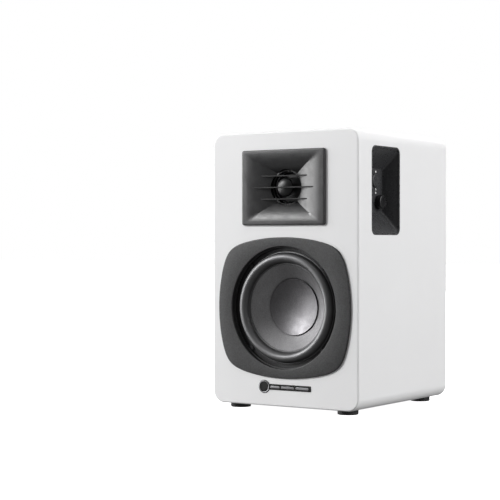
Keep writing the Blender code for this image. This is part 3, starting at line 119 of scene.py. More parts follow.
def oriented(axis, u, v, t):
    """A point whose t runs along the axis, with u and v across it in the order x, y, z."""
    return {"X": (t, u, v), "Y": (u, t, v), "Z": (u, v, t)}[axis]


def mesh_object(name, vertices, faces, material):
    """A smooth-shaded object with clean normals, made from points in millimetres."""
    mesh = bpy.data.meshes.new(name)
    mesh.from_pydata([world(vertex) for vertex in vertices], [], faces)
    work = bmesh.new()
    work.from_mesh(mesh)
    bmesh.ops.remove_doubles(work, verts=work.verts, dist=MM / 1000)
    bmesh.ops.recalc_face_normals(work, faces=work.faces)
    work.to_mesh(mesh)
    work.free()
    mesh.shade_smooth()
    mesh.set_sharp_from_angle(angle=SHARP_ANGLE)
    if material:
        mesh.materials.append(material)
    made = bpy.data.objects.new(name, mesh)
    bpy.context.scene.collection.objects.link(made)
    return made


def loft(name, axis, sections, material, loop=False):
    """A skin through outlines of equal count: capped at both ends, or closed on itself with loop."""
    count = len(sections[0][1])
    vertices = [oriented(axis, u, v, t) for t, outline in sections for u, v in outline]
    faces = []
    spans = len(sections) if loop else len(sections) - 1
    for ring in range(spans):
        here = ring * count
        there = (ring + 1) % len(sections) * count
        for step in range(count):
            after = (step + 1) % count
            faces.append((here + step, here + after, there + after, there + step))
    if not loop:
        last = (len(sections) - 1) * count
        faces.append(tuple(range(count)))
        faces.append(tuple(range(last, last + count)))
    return mesh_object(name, vertices, faces, material)


def turned(name, axis, centre, profile, material, steps=ROUND):
    """A closed profile of (radius, t) points turned about the axis that passes through centre."""
    vertices = []
    rings = []
    for radius, t in profile:
        if radius == 0:
            rings.append([len(vertices)] * steps)
            vertices.append(oriented(axis, *centre, t))
            continue
        rings.append(list(range(len(vertices), len(vertices) + steps)))
        vertices += [oriented(axis, u, v, t) for u, v in circle(radius, centre, steps)]
    faces = []
    for ring, following in zip(rings, rings[1:] + rings[:1]):
        for step in range(steps):
            after = (step + 1) % steps
            corners = [ring[step], ring[after], following[after], following[step]]
            face = list(dict.fromkeys(corners))
            if len(face) > 2:
                faces.append(face)
    return mesh_object(name, vertices, faces, material)


def circle(radius, centre=(0, 0), steps=ROUND):
    """The points of a circle."""
    turns = [2 * math.pi * step / steps for step in range(steps)]
    return [(centre[0] + radius * math.cos(turn), centre[1] + radius * math.sin(turn)) for turn in turns]


def rounded(width, height, radius, centre=(0, 0), steps=CORNER):
    """The outline of a rectangle with rounded corners."""
    points = []
    for quarter, (side, end) in enumerate(((1, 1), (-1, 1), (-1, -1), (1, -1))):
        across = centre[0] + side * (width / 2 - radius)
        up = centre[1] + end * (height / 2 - radius)
        for step in range(steps + 1):
            turn = math.pi / 2 * (quarter + step / steps)
            points.append((across + radius * math.cos(turn), up + radius * math.sin(turn)))
    return points


def between(low, high, radius, steps=CORNER):
    """The rounded outline that spans from the low corner to the high one."""
    centre = ((low[0] + high[0]) / 2, (low[1] + high[1]) / 2)
    return rounded(high[0] - low[0], high[1] - low[1], radius, centre, steps)


def box(name, low, high, material, edge):
    """A block between two corners with softened edges."""
    outline = [(low[0], low[1]), (high[0], low[1]), (high[0], high[1]), (low[0], high[1])]
    made = loft(name, "Z", [(low[2], outline), (high[2], outline)], material)
    soften(made, edge)
    return made


def rounded_edge(centre, half, start, finish, steps):
    """Profile points round a quarter of an edge: half is its radius, centre its (radius, depth) middle."""
    points = []
    for turn in arc(start, finish, steps):
        points.append((centre[0] + half * math.cos(turn), centre[1] + half * math.sin(turn)))
    return points


def soften(piece, width, segments=3):
    """Bevels the sharp edges of a piece."""
    bevel = piece.modifiers.new("edges", "BEVEL")
    bevel.width = width * MM
    bevel.segments = segments
    bevel.limit_method = "ANGLE"
    bevel.angle_limit = SHARP_ANGLE
    bevel.harden_normals = True
    apply_modifiers(piece)


def combine(piece, other, operation):
    """Cuts or joins a piece with another one, which is used up."""
    step = piece.modifiers.new(operation, "BOOLEAN")
    step.operation = operation
    step.solver = "EXACT"
    step.object = other
    apply_modifiers(piece)
    bpy.data.objects.remove(other, do_unlink=True)


def cut(piece, *cutters):
    for cutter in cutters:
        combine(piece, cutter, "DIFFERENCE")


def join(piece, *others):
    for other in others:
        combine(piece, other, "UNION")


def apply_modifiers(piece):
    """Bakes the modifiers into the piece's own mesh."""
    graph = bpy.context.evaluated_depsgraph_get()
    result = bpy.data.meshes.new_from_object(piece.evaluated_get(graph))
    piece.modifiers.clear()
    old = piece.data
    piece.data = result
    bpy.data.meshes.remove(old)
    result.shade_smooth()
    result.set_sharp_from_angle(angle=SHARP_ANGLE)


def bore(axis, centre, radius, start, end, steps=MEDIUM):
    """A round cutter along an axis."""
    outline = circle(radius, centre, steps)
    return loft("cutter", axis, [(start, outline), (end, outline)], None)


def well(axis, low, high, start, end, radius):
    """A rounded rectangular cutter along an axis."""
    outline = between(low, high, radius)
    return loft("cutter", axis, [(start, outline), (end, outline)], None)


def arc(start, finish, steps):
    """Even steps from start to finish, both included."""
    return [start + (finish - start) * step / steps for step in range(steps + 1)]


def place(piece, body, material_slot, *nodes):
    """Rides a finished piece on its body, in the place of the CAD nodes it stands for."""
    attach(piece, body)
    if nodes:
        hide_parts(*nodes)
    return piece


# ---------------------------------------------------------------- materials


def surface(
    name,
    colour,
    roughness,
    metallic=0.0,
    tint=0.12,
    tint_size=8.0,
    speckle=0.0,
    speckle_size=0.8,
    bump=0.1,
    bump_size=0.5,
    wear=0.08,
    stretch=(1, 1, 1),
    specular=0.5,
    coat=0.0,
    sheen=0.0,
):
    """A Principled material whose colour, roughness and relief vary by object-space noise; sizes in mm."""
    made = bpy.data.materials.new(name)
    made.use_nodes = True
    tree = made.node_tree
    nodes, links = tree.nodes, tree.links
    shader = nodes["Principled BSDF"]
    shader.inputs["Metallic"].default_value = metallic
    shader.inputs["Specular IOR Level"].default_value = specular
    shader.inputs["Coat Weight"].default_value = coat
    shader.inputs["Sheen Weight"].default_value = sheen
    where = nodes.new("ShaderNodeTexCoord")
    mapping = nodes.new("ShaderNodeMapping")
    mapping.inputs["Scale"].default_value = stretch
    links.new(where.outputs["Object"], mapping.inputs["Vector"])

    def noise(size, detail=3.0):
        found = nodes.new("ShaderNodeTexNoise")
        found.inputs["Scale"].default_value = 1 / (size * MM)
        found.inputs["Detail"].default_value = detail
        links.new(mapping.outputs["Vector"], found.inputs["Vector"])
        return found.outputs["Fac"]

    def ranged(value, low, high, spread=0.25):
        found = nodes.new("ShaderNodeMapRange")
        found.inputs["From Min"].default_value = 0.5 - spread
        found.inputs["From Max"].default_value = 0.5 + spread
        found.inputs["To Min"].default_value = low
        found.inputs["To Max"].default_value = high
        links.new(value, found.inputs["Value"])
        return found.outputs["Result"]

    shade = ranged(noise(tint_size), 1 - tint, 1 + tint)
    if speckle:
        fine = ranged(noise(speckle_size, 1.0), 1 - speckle, 1 + speckle, 0.2)
        product = nodes.new("ShaderNodeMath")
        product.operation = "MULTIPLY"
        links.new(shade, product.inputs[0])
        links.new(fine, product.inputs[1])
        shade = product.outputs["Value"]
    scaled = nodes.new("ShaderNodeVectorMath")
    scaled.operation = "SCALE"
    scaled.inputs[0].default_value = colour
    links.new(shade, scaled.inputs["Scale"])
    links.new(scaled.outputs["Vector"], shader.inputs["Base Color"])
    links.new(ranged(noise(tint_size * 0.6), roughness - wear, roughness + wear), shader.inputs["Roughness"])
    relief = nodes.new("ShaderNodeBump")
    relief.inputs["Strength"].default_value = bump
    relief.inputs["Distance"].default_value = bump_size * MM * 0.2
    links.new(noise(bump_size, 2.0), relief.inputs["Height"])
    links.new(relief.outputs["Normal"], shader.inputs["Normal"])
    return made


LAMINATE = surface(
    "laminate", (0.86, 0.86, 0.865), 0.4, tint=0.006, tint_size=25, bump=0.12, bump_size=0.5, wear=0.05
)
GRAINED = surface(
    "grained_plastic", (0.028, 0.028, 0.029), 0.5, tint=0.06, speckle=0.32, speckle_size=0.75, bump=0.55,
    bump_size=0.6,
)
# The same satin black plastic as the trim ring, with a lower base colour: its own black plus painted shade
# for the shadowed walls of the throat.
HORN_PLASTIC_AND_SHADE = surface(
    "horn_plastic_and_painted_shade", (0.02, 0.02, 0.021), 0.4, tint=0.05, speckle=0.3, speckle_size=0.75, bump=0.5,
    bump_size=0.55, specular=0.8,
)
# The same satin black plastic again, made near-black: its own black plus painted shade for the shadow under
# and between the vanes in the throat.
VANE_PLASTIC_AND_SHADE = surface(
    "vane_plastic_and_painted_shade", (0.006, 0.006, 0.0065), 0.4, tint=0.05, bump=0.2, bump_size=0.5, specular=0.4
)
POCKET_SKIN = surface("pocket_moulding", (0.045, 0.046, 0.048), 0.28, tint=0.06, bump=0.15, bump_size=0.5)
KNOB_SKIN = surface("knob_plastic", (0.01, 0.01, 0.011), 0.3, tint=0.05, bump=0.1, bump_size=0.4)
BADGE_SKIN = surface("badge_moulding", (0.012, 0.012, 0.012), 0.3, tint=0.04, bump=0.05, bump_size=0.4)
BADGE_RELIEF = surface(
    "badge_relief", (0.3, 0.3, 0.31), 0.35, metallic=0.6, tint=0.04, bump=0.05, bump_size=0.4
)
RUBBER = surface(
    "butyl_rubber", (0.15, 0.15, 0.153), 0.5, metallic=0.9, tint=0.08, bump=0.15, bump_size=0.4, wear=0.05
)
FOOT_SKIN = surface("foot_rubber_skin", (0.012, 0.012, 0.013), 0.6, tint=0.1, bump=0.3, bump_size=0.5)
CONE_SKIN = surface(
    "coated_pulp", (0.36, 0.356, 0.365), 0.52, metallic=0.95, tint=0.06, speckle=0.14, speckle_size=0.7,
    bump=0.35, bump_size=0.6, wear=0.05,
)
CAP_SKIN = surface(
    "cap_pulp", (0.155, 0.152, 0.158), 0.46, metallic=0.95, tint=0.06, speckle=0.12, speckle_size=0.7,
    bump=0.3, bump_size=0.6, wear=0.05,
)
SILK = surface("coated_silk", (0.02, 0.02, 0.022), 0.5, tint=0.1, bump=0.5, bump_size=0.25, sheen=0.3)
COATED_METAL = surface("powder_coat", (0.02, 0.02, 0.021), 0.45, tint=0.08, bump=0.4, bump_size=0.5)
BLACK_PLASTIC = surface("black_moulding", (0.02, 0.02, 0.021), 0.4, tint=0.06, bump=0.2, bump_size=0.5)
RED_PLASTIC = surface("red_moulding", (0.5, 0.018, 0.016), 0.38, tint=0.08, bump=0.15, bump_size=0.5)
STEEL = surface(
    "zinc_plate", (0.55, 0.55, 0.57), 0.32, metallic=1.0, tint=0.08, tint_size=5, bump=0.1, bump_size=0.4
)
FERRITE = surface(
    "sintered_ferrite", (0.045, 0.045, 0.05), 0.7, tint=0.15, speckle=0.2, speckle_size=1.2, bump=0.5
)
COPPER = surface(
    "copper_winding", (0.62, 0.3, 0.14), 0.35, metallic=1.0, tint=0.1, bump=0.7, stretch=(1, 12, 1)
)
SPIDER_CLOTH = surface(
    "spider_weave", (0.5, 0.37, 0.16), 0.85, tint=0.15, speckle=0.25, speckle_size=0.5, bump=0.8
)
BOARD = surface("solder_mask", (0.015, 0.11, 0.04), 0.35, tint=0.15, tint_size=4, speckle=0.1, bump=0.1)
ALUMINIUM = surface(
    "extruded_aluminium", (0.7, 0.7, 0.72), 0.35, metallic=1.0, tint=0.05, bump=0.3, stretch=(8, 8, 1)
)
CLEAR = surface("frosted_guide", (0.75, 0.75, 0.74), 0.2, tint=0.04, bump=0.1, coat=0.3)
WADDING = surface(
    "loose_fibre", (0.72, 0.71, 0.66), 0.95, tint=0.2, speckle=0.3, speckle_size=1.5, bump=1.0, bump_size=2
)
IRON = surface(
    "laminated_steel", (0.2, 0.19, 0.17), 0.5, metallic=0.7, tint=0.15, bump=0.6, stretch=(1, 10, 1)
)
SLEEVE = surface("shrunk_sleeve", (0.025, 0.045, 0.15), 0.3, tint=0.06, bump=0.1, coat=0.3)
WIRE = surface("wire_sleeve", (0.35, 0.025, 0.022), 0.45, tint=0.1, bump=0.2)
FLOOR = surface("studio_floor", (0.9, 0.9, 0.9), 0.7, tint=0.004, tint_size=200, bump=0.02, bump_size=3)

CAD_SKINS = {
    "white_laminate": LAMINATE,
    "satin_black_plastic": GRAINED,
    "pocket_plastic": POCKET_SKIN,
    "black_plastic": BLACK_PLASTIC,
    "red_plastic": RED_PLASTIC,
    "badge_plastic": BADGE_SKIN,
    "black_rubber": RUBBER,
    "foot_rubber": FOOT_SKIN,
    "cone_paper": CONE_SKIN,
    "silk_dome": SILK,
    "voice_coil": COPPER,
    "plated_steel": STEEL,
    "ferrite": FERRITE,
    "black_metal": COATED_METAL,
    "spider_cloth": SPIDER_CLOTH,
    "circuit_board": BOARD,
    "aluminium": ALUMINIUM,
    "light_guide": CLEAR,
    "wadding": WADDING,
    "transformer_steel": IRON,
    "capacitor_sleeve": SLEEVE,
    "wire_insulation": WIRE,
}


def paint_cad():
    """Gives every carried-over CAD node its procedural material."""
    slots = {entry["node"]: entry["material_slot"] for entry in frame["record"]["subparts"]}
    for name, node in NODES.items():
        skin = CAD_SKINS[slots[name]]
        for slot in node.material_slots:
            slot.material = skin


# ---------------------------------------------------------------- cabinet

LONG_EDGE = 9.0
FACE_EDGE = 1.25
REAR_EDGE = 0.8
INNER_EDGE = 2.0
WALL = 9.0
LIP = 1.5
BAFFLE = 12.0
REAR = 9.0
GAP = 0.3
TWEETER = (0, 160.4)
WOOFER = (0, 72.4)
WOOFER_SEAT_RADIUS = 47.0
WOOFER_SEAT_DEPTH = 6.0
WOOFER_HOLE_RADIUS = 39.2
# The horn's boss: width, height and corner radius
BOSS = (50.0, 44.0, 6.0)
BOSS_BACK = 8.0
POCKET_LOW = (18.6, 125.5)
POCKET_HIGH = (61.0, 190.1)
POCKET_CORNER = 5.0
# The amplifier plate: width, height, corner radius and height of its middle
PLATE = (96.0, 118.0, 5.0, 72.0)
PLATE_OVERLAP = 7.0
PORT_Z = 165.0
PORT_RADIUS = 13.0
PORT_HOLE_RADIUS = 15.1
FOOT_RADIUS = 7.6
FOOT_TAPER = 0.2
FOOT_TAPER_DEPTH = 0.3
FOOT_EDGE = 0.7
FOOT_HEIGHT = 3.5
FOOT_HOLLOW = 0.4
FOOT_HOLLOW_RADIUS = 5.2
BADGE_DISC = (-16.9, 14.1)
BADGE_DISC_RADIUS = 4.8
BADGE_HALF_BAR = 2.05
BADGE_BAR_END = 23.4
BADGE_CORNER = 0.6
BADGE_FRONT = -0.4
BADGE_BACK = 0.3
BADGE_EDGE = 0.15
BADGE_SEAT = 0.6
BADGE_CLEARANCE = 0.12
RELIEF_BACK = -0.39
# Radius and depth of the raised rim on the badge's disc
BADGE_RIM = ((3.9, RELIEF_BACK), (3.9, -0.55), (4.15, -0.62), (4.4, -0.55), (4.4, RELIEF_BACK))
BADGE_LINES = ((-11.4, -3.2), (-1.8, 9.2), (10.6, 21.6))
LINE_HEIGHT = 1.5
LINE_RADIUS = 0.7
LINE_CHAMFER = 0.15
LINE_SHOULDER = -0.52
LINE_FRONT = -0.6
BADGE_STEPS = 5


def build_cabinet():
    """The wrapped shell, the front baffle and the rear panel."""
    centre = (0, HEIGHT / 2)
    seat = rounded(WIDTH - 2 * LIP, HEIGHT - 2 * LIP, LONG_EDGE - LIP, centre)
    inside = rounded(WIDTH - 2 * WALL, HEIGHT - 2 * WALL, INNER_EDGE, centre)
    sections = []
    for turn in arc(0, math.pi / 2, FACE_EDGE_STEPS):
        inset = FACE_EDGE * (1 - math.sin(turn))
        outline = rounded(WIDTH - 2 * inset, HEIGHT - 2 * inset, LONG_EDGE - inset, centre)
        sections.append((FACE_EDGE * (1 - math.cos(turn)), outline))
    for turn in arc(math.pi / 2, 0, EDGE):
        inset = REAR_EDGE * (1 - math.sin(turn))
        outline = rounded(WIDTH - 2 * inset, HEIGHT - 2 * inset, LONG_EDGE - inset, centre)
        sections.append((DEPTH - REAR_EDGE * (1 - math.cos(turn)), outline))
    sections += [
        (DEPTH, seat),
        (DEPTH - REAR, seat),
        (DEPTH - REAR, inside),
        (BAFFLE, inside),
        (BAFFLE, seat),
        (0.0, seat),
    ]
    wrap = loft("cabinet_shell", "Y", sections, LAMINATE, loop=True)
    side = WIDTH / 2
    cut(wrap, well("X", POCKET_LOW, POCKET_HIGH, side - 2 * WALL, side + WALL, POCKET_CORNER))
    place(wrap, "cabinet", "white_laminate", "cabinet_wrap")

    baffle = loft("baffle_board", "Y", [(0.0, seat), (BAFFLE - GAP, seat)], LAMINATE)
    boss = rounded(BOSS[0] + 2 * GAP, BOSS[1] + 2 * GAP, BOSS[2], TWEETER)
    cut(
        baffle,
        loft("cutter", "Y", [(-WALL, boss), (2 * BAFFLE, boss)], None),
        bore("Y", WOOFER, WOOFER_SEAT_RADIUS, -WALL, WOOFER_SEAT_DEPTH, ROUND),
        bore("Y", WOOFER, WOOFER_HOLE_RADIUS, 0.0, 2 * BAFFLE, ROUND),
        badge_shape("cutter", BADGE_CLEARANCE, -WALL, BADGE_SEAT, None),
    )
    place(baffle, "cabinet", "white_laminate", "front_baffle")

    rear = loft("rear_board", "Y", [(DEPTH - REAR + GAP, seat), (DEPTH, seat)], LAMINATE)
    hole_width = PLATE[0] - 2 * PLATE_OVERLAP
    hole_height = PLATE[1] - 2 * PLATE_OVERLAP
    plate_hole = rounded(hole_width, hole_height, PLATE[2], (0, PLATE[3]))
    cut(
        rear,
        loft("cutter", "Y", [(DEPTH - 2 * REAR, plate_hole), (DEPTH + REAR, plate_hole)], None),
        bore("Y", (0, PORT_Z), PORT_HOLE_RADIUS, DEPTH - 2 * REAR, DEPTH + REAR),
    )
    place(rear, "cabinet", "white_laminate", "rear_panel")


def build_feet():
    """Four round feet with a rounded lower edge and a shallow hollow underneath."""
    profile = [(0, -FIT), (FOOT_RADIUS - FOOT_TAPER, -FIT), (FOOT_RADIUS, -FOOT_TAPER_DEPTH)]
    edge_middle = (FOOT_RADIUS - FOOT_EDGE, FOOT_EDGE - FOOT_HEIGHT)
    profile += rounded_edge(edge_middle, FOOT_EDGE, 0, -math.pi / 2, BADGE_STEPS)
    profile += [
        (FOOT_HOLLOW_RADIUS + FOOT_HOLLOW, -FOOT_HEIGHT),
        (FOOT_HOLLOW_RADIUS, FOOT_HOLLOW - FOOT_HEIGHT),
        (0, FOOT_HOLLOW - FOOT_HEIGHT),
    ]
    for end in ("front", "rear"):
        for side in ("left", "right"):
            node = f"foot_{end}_{side}"
            spot = middle(*local_box(node))
            foot = turned(f"pad_{end}_{side}", "Z", (spot.x, spot.y), profile, FOOT_SKIN, MEDIUM)
            place(foot, "cabinet", "foot_rubber", node)


def badge_shape(name, growth, front, back, material, edge=0.0):
    """A disc with a bar running off its right side."""
    radius = BADGE_DISC_RADIUS + growth
    half_bar = BADGE_HALF_BAR + growth
    end = BADGE_BAR_END + growth
    meeting = math.asin(half_bar / radius)

    def outline(inset):
        points = []
        for turn in arc(meeting, 2 * math.pi - meeting, SMALL):
            across = BADGE_DISC[0] + (radius - inset) * math.cos(turn)
            points.append((across, BADGE_DISC[1] + (radius - inset) * math.sin(turn)))
        for side in (-1, 1):
            first = -math.pi / 2 if side < 0 else 0
            for turn in arc(first, first + math.pi / 2, BADGE_STEPS):
                across = end - inset - BADGE_CORNER + BADGE_CORNER * math.cos(turn)
                up = side * (half_bar - inset - BADGE_CORNER) + BADGE_CORNER * math.sin(turn)
                points.append((across, BADGE_DISC[1] + up))
        return points

    sections = [(front, outline(edge))]
    if edge:
        sections.append((front + edge, outline(0)))
    sections.append((back, outline(0)))
    return loft(name, "Y", sections, material)


def build_badge():
    """The badge, with a plain raised rim and three plain raised bars."""
    badge = badge_shape("badge_plate", 0.0, BADGE_FRONT, BADGE_BACK, BADGE_SKIN, BADGE_EDGE)
    place(badge, "cabinet", "badge_plastic", "badge")
    rim = turned("badge_rim", "Y", BADGE_DISC, list(BADGE_RIM), BADGE_RELIEF, MEDIUM)
    place(rim, "cabinet", "badge_plastic")
    for index, (low, high) in enumerate(BADGE_LINES):
        spot = ((low + high) / 2, BADGE_DISC[1])
        line = rounded(high - low, LINE_HEIGHT, LINE_RADIUS, spot, BADGE_STEPS)
        inner_width = high - low - 2 * LINE_CHAMFER
        inner_height = LINE_HEIGHT - 2 * LINE_CHAMFER
        inner = rounded(inner_width, inner_height, LINE_RADIUS - LINE_CHAMFER, spot, BADGE_STEPS)
        sections = [(RELIEF_BACK, line), (LINE_SHOULDER, line), (LINE_FRONT, inner)]
        piece = loft(f"badge_line_{index + 1}", "Y", sections, BADGE_RELIEF)
        place(piece, "cabinet", "badge_plastic")


# ---------------------------------------------------------------- tweeter

FLANGE = (71.8, 55.3, 1.8)
FLANGE_PROUD = 2.0
FLANGE_EDGE = 1.0
MOUTH = (32.0, 25.2)
THROAT = 13.4
FLARE_DEPTH = 5.0
FLARE_POWER = 1.75
FLARE_OVERRUN = 1.3
FLARE_STEPS = 40
VANE_THICKNESS = 0.85
VANE_OFFSET = 8.5
VANE_FRONT = 0.35
MIDDLE_VANE_FRONT = -1.35
VANE_BACK = 7.3
# The ring that carries the vanes
CARRIER_FRONT = 5.2
CARRIER_BACK = 7.9
CARRIER_WALL = 1.7
CARRIER_CHAMFER = 0.4
PLUG_RADIUS = 6.9
PLUG_BASE = 2.6
PLUG_RISE = 3.1
PLUG_STEM = 4.0
PLUG_BACK = 7.0
# Radius and depth of the plate that carries the dome
TWEETER_PLATE = ((12.2, 8.05), (20, 8.05), (20, 10.3), (11.4, 10.3), (11.4, 8.9), (11.7, 8.35))
DOME_RADIUS = 10.9
DOME_BASE = 11.3
DOME_RISE = 2.6
DOME_SHEET = 0.4


def mouth_outline(share, side_steps=20):
    """The horn's rectangle, at a share of the way from mouth to throat."""
    across = THROAT + (MOUTH[0] - THROAT) * (1 - share)
    up = THROAT + (MOUTH[1] - THROAT) * (1 - share)
    corners = [(across, up), (-across, up), (-across, -up), (across, -up)]
    points = []
    for start, finish in zip(corners, corners[1:] + corners[:1]):
        for step in range(side_steps):
            part = step / side_steps
            u = start[0] + (finish[0] - start[0]) * part
            v = start[1] + (finish[1] - start[1]) * part
            points.append((u, TWEETER[1] + v))
    return points


def flare_half(depth):
    """Half the width of the horn at a depth behind its front face."""
    share = (max(depth, 0.0) / FLARE_DEPTH) ** (1 / FLARE_POWER)
    return THROAT + (MOUTH[0] - THROAT) * (1 - share)


def build_horn():
    """The square flange with its rounded edge, the boss behind it and the flare cut through both."""
    width, height, radius = FLANGE
    sections = []
    for turn in arc(0, math.pi / 2, FACE_EDGE_STEPS):
        inset = FLANGE_EDGE * (1 - math.sin(turn))
        outline = rounded(width - 2 * inset, height - 2 * inset, radius - inset / 2, TWEETER)
        sections.append((-FLANGE_PROUD + FLANGE_EDGE * (1 - math.cos(turn)), outline))
    boss = rounded(*BOSS, TWEETER)
    sections += [(-SEAT_GAP, sections[-1][1]), (-SEAT_GAP, boss), (BOSS_BACK, boss)]
    # The horn's lowered base colour holds painted shade for its shadowed throat walls.
    body = loft("horn_moulding", "Y", sections, HORN_PLASTIC_AND_SHADE)
    flare = [(-FLANGE_PROUD - 1, mouth_outline(0.0))]
    for step in range(FLARE_STEPS + 1):
        share = FLARE_OVERRUN * step / FLARE_STEPS
        flare.append((-FLANGE_PROUD + FLARE_DEPTH * share**FLARE_POWER, mouth_outline(share)))
    cut(
        body,
        loft("cutter", "Y", flare, None),
        bore("Y", TWEETER, THROAT, FLARE_DEPTH - FLANGE_PROUD, BOSS_BACK + 1, ROUND),
    )
    place(body, "cabinet", "satin_black_plastic", "horn")


def vane(offset, front):
    """A thin horizontal plate that follows the horn's side walls down into the throat."""
    throat_front = FLARE_DEPTH - FLANGE_PROUD
    right = []
    for depth in arc(front, throat_front, CURVE):
        right.append((flare_half(depth + FLANGE_PROUD) - FIT, depth))
    chord = math.sqrt((THROAT - 2 * FIT) ** 2 - (abs(offset) + VANE_THICKNESS / 2) ** 2)
    right += [(chord - 2 * FIT, throat_front), (chord - 2 * FIT, VANE_BACK)]
    outline = right + [(-x, depth) for x, depth in reversed(right)]
    low = TWEETER[1] + offset - VANE_THICKNESS / 2
    # The vane's near-black colour holds painted shade for the shadow under it.
    return loft("vane", "Z", [(low, outline), (low + VANE_THICKNESS, outline)], VANE_PLASTIC_AND_SHADE)


def build_diffuser():
    """The rounded plug in the throat and three thin vanes, carried on one ring."""
    outer = THROAT - FIT
    inner = outer - CARRIER_WALL
    carrier = [
        (outer, CARRIER_FRONT),
        (outer, CARRIER_BACK),
        (inner, CARRIER_BACK),
        (inner, CARRIER_FRONT + CARRIER_CHAMFER),
        (inner + CARRIER_CHAMFER, CARRIER_FRONT),
    ]
    # The diffuser's near-black colour holds painted shade for the shadow under and between the vanes.
    ring = turned("diffuser_moulding", "Y", TWEETER, carrier, VANE_PLASTIC_AND_SHADE, ROUND)
    plug = []
    for turn in arc(0, math.pi / 2, ROLL):
        plug.append((PLUG_RADIUS * math.sin(turn), PLUG_BASE - PLUG_RISE * math.cos(turn)))
    plug += [(PLUG_STEM, PLUG_BACK), (0, PLUG_BACK)]
    join(
        ring,
        turned("plug", "Y", TWEETER, plug, VANE_PLASTIC_AND_SHADE, MEDIUM),
        vane(0.0, MIDDLE_VANE_FRONT),
        vane(VANE_OFFSET, VANE_FRONT),
        vane(-VANE_OFFSET, VANE_FRONT),
    )
    soften(ring, 0.1, 2)
    place(ring, "cabinet", "satin_black_plastic", "diffuser")


def build_tweeter():
    """The dome and the plate that carries it, behind the horn."""
    frame_ring = turned("tweeter_faceplate", "Y", TWEETER, list(TWEETER_PLATE), STEEL, ROUND)
    place(frame_ring, "cabinet", "black_metal", "tweeter_frame")
    outside = []
    inside = []
    for turn in arc(0, math.pi / 2, CURVE):
        outside.append((DOME_RADIUS * math.sin(turn), DOME_BASE - DOME_RISE * math.cos(turn)))
    for turn in arc(math.pi / 2, 0, CURVE):
        across = (DOME_RADIUS - DOME_SHEET) * math.sin(turn)
        inside.append((across, DOME_BASE - (DOME_RISE - DOME_SHEET) * math.cos(turn)))
    dome = turned("silk_dome", "Y", TWEETER, outside + inside, SILK, ROUND)
    place(dome, "tweeter_dome", "silk_dome", "tweeter_dome")


# ---------------------------------------------------------------- woofer

RING_HALF = (57.0, 51.6)
RING_TOP_BOW = 155.0
RING_SIDE_BOW = 117.0
RING_CORNER_POWER = 16.0
RING_PROUD = 1.4
RING_EDGE = 0.7
RING_CHAMFER = 0.5
# The collar that goes into the baffle: its radius, and the lip in front of the surround
RING_COLLAR = 46.6
RING_COLLAR_BACK = 3.6
RING_LIP_FRONT = 2.2
OPENING = 45.0
# Radius and depth round the frame, from the surround's seat to the magnet and back
BASKET_PROFILE = (
    (37.4, 4.5),
    (41.3, 4.5),
    (41.5, 4.1),
    (42.0, 4.1),
    (42.2, 4.5),
    (46.0, 4.5),
    (46.0, 5.7),
    (38.6, 5.7),
    (32.2, 25.2),
    (32.2, 26.4),
    (29.2, 26.4),
    (29.2, 29.0),
    (14.0, 29.0),
    (14.0, 27.8),
    (28.0, 27.8),
    (28.0, 25.2),
    (31.0, 25.2),
)
WINDOW_REACH = 46
WINDOW_HALF = 11
WINDOW_FRONT = 10
WINDOW_BACK = 21
WINDOW_CORNER = 2.0
SECTORS = 24
SURROUND_INNER = 32.8
SURROUND_OUTER = 40.6
SURROUND_EDGE = 4.2
SURROUND_CREST = -0.7
SURROUND_SHEET = 0.6
SURROUND_LIP = 41.1
# The bead that holds the cone: radius, and depth behind the surround's edge
SURROUND_BEAD = ((32.6, 0.3), (31.9, 0.5), (31.7, 0.2), (32.0, -0.1), (32.5, -0.15))
CONE_RADIUS = 32.4
CONE_NECK = 13.1
CONE_FRONT = 5.0
CONE_DEPTH = 15.0
CONE_BOW = 0.6
CONE_SHEET = 0.9
CAP_RADIUS = 20.5
CAP_CENTRE_DEPTH = 17.6
CAP_RISE = 4.3
CAP_SHEET = 0.5
CAP_EDGE = ((20.62, 13.25), (20.8, 13.4))


def bowed(reach, bow, toward):
    """How far a side that bows out on a circle of radius bow lies in a direction; toward is its cosine."""
    back = bow - reach
    return math.sqrt((toward * back) ** 2 + bow**2 - back**2) - toward * back


def trim_outline(inset):
    """The trim ring's outline: four bowed sides that blend at the corners."""
    points = []
    for step in range(ROUND):
        turn = 2 * math.pi * step / ROUND
        side = bowed(RING_HALF[0] - inset, RING_SIDE_BOW, abs(math.cos(turn)))
        top = bowed(RING_HALF[1] - inset, RING_TOP_BOW, abs(math.sin(turn)))
        radius = (side**-RING_CORNER_POWER + top**-RING_CORNER_POWER) ** (-1 / RING_CORNER_POWER)
        points.append((radius * math.cos(turn), WOOFER[1] + radius * math.sin(turn)))
    return points


def build_trim_ring():
    """The flat ring with rounded edges, its round opening and the collar behind it."""
    sections = [(-SEAT_GAP, trim_outline(0.0))]
    for turn in arc(0, math.pi / 2, EDGE):
        inset = RING_EDGE * (1 - math.cos(turn))
        sections.append((-RING_PROUD + RING_EDGE * (1 - math.sin(turn)), trim_outline(inset)))
    for turn in arc(math.pi / 2, 0, EDGE):
        radius = OPENING + RING_CHAMFER * (1 - math.cos(turn))
        sections.append((-RING_PROUD + RING_CHAMFER * (1 - math.sin(turn)), circle(radius, WOOFER)))
    sections += [
        (RING_LIP_FRONT, circle(OPENING, WOOFER)),
        (RING_LIP_FRONT + 0.1, circle(OPENING - 0.7, WOOFER)),
        (RING_COLLAR_BACK, circle(OPENING - 0.8, WOOFER)),
        (RING_COLLAR_BACK, circle(RING_COLLAR, WOOFER)),
        (-SEAT_GAP, circle(RING_COLLAR, WOOFER)),
    ]
    ring = loft("trim_ring", "Y", sections, GRAINED, loop=True)
    place(ring, "cabinet", "satin_black_plastic", "woofer_trim_ring")


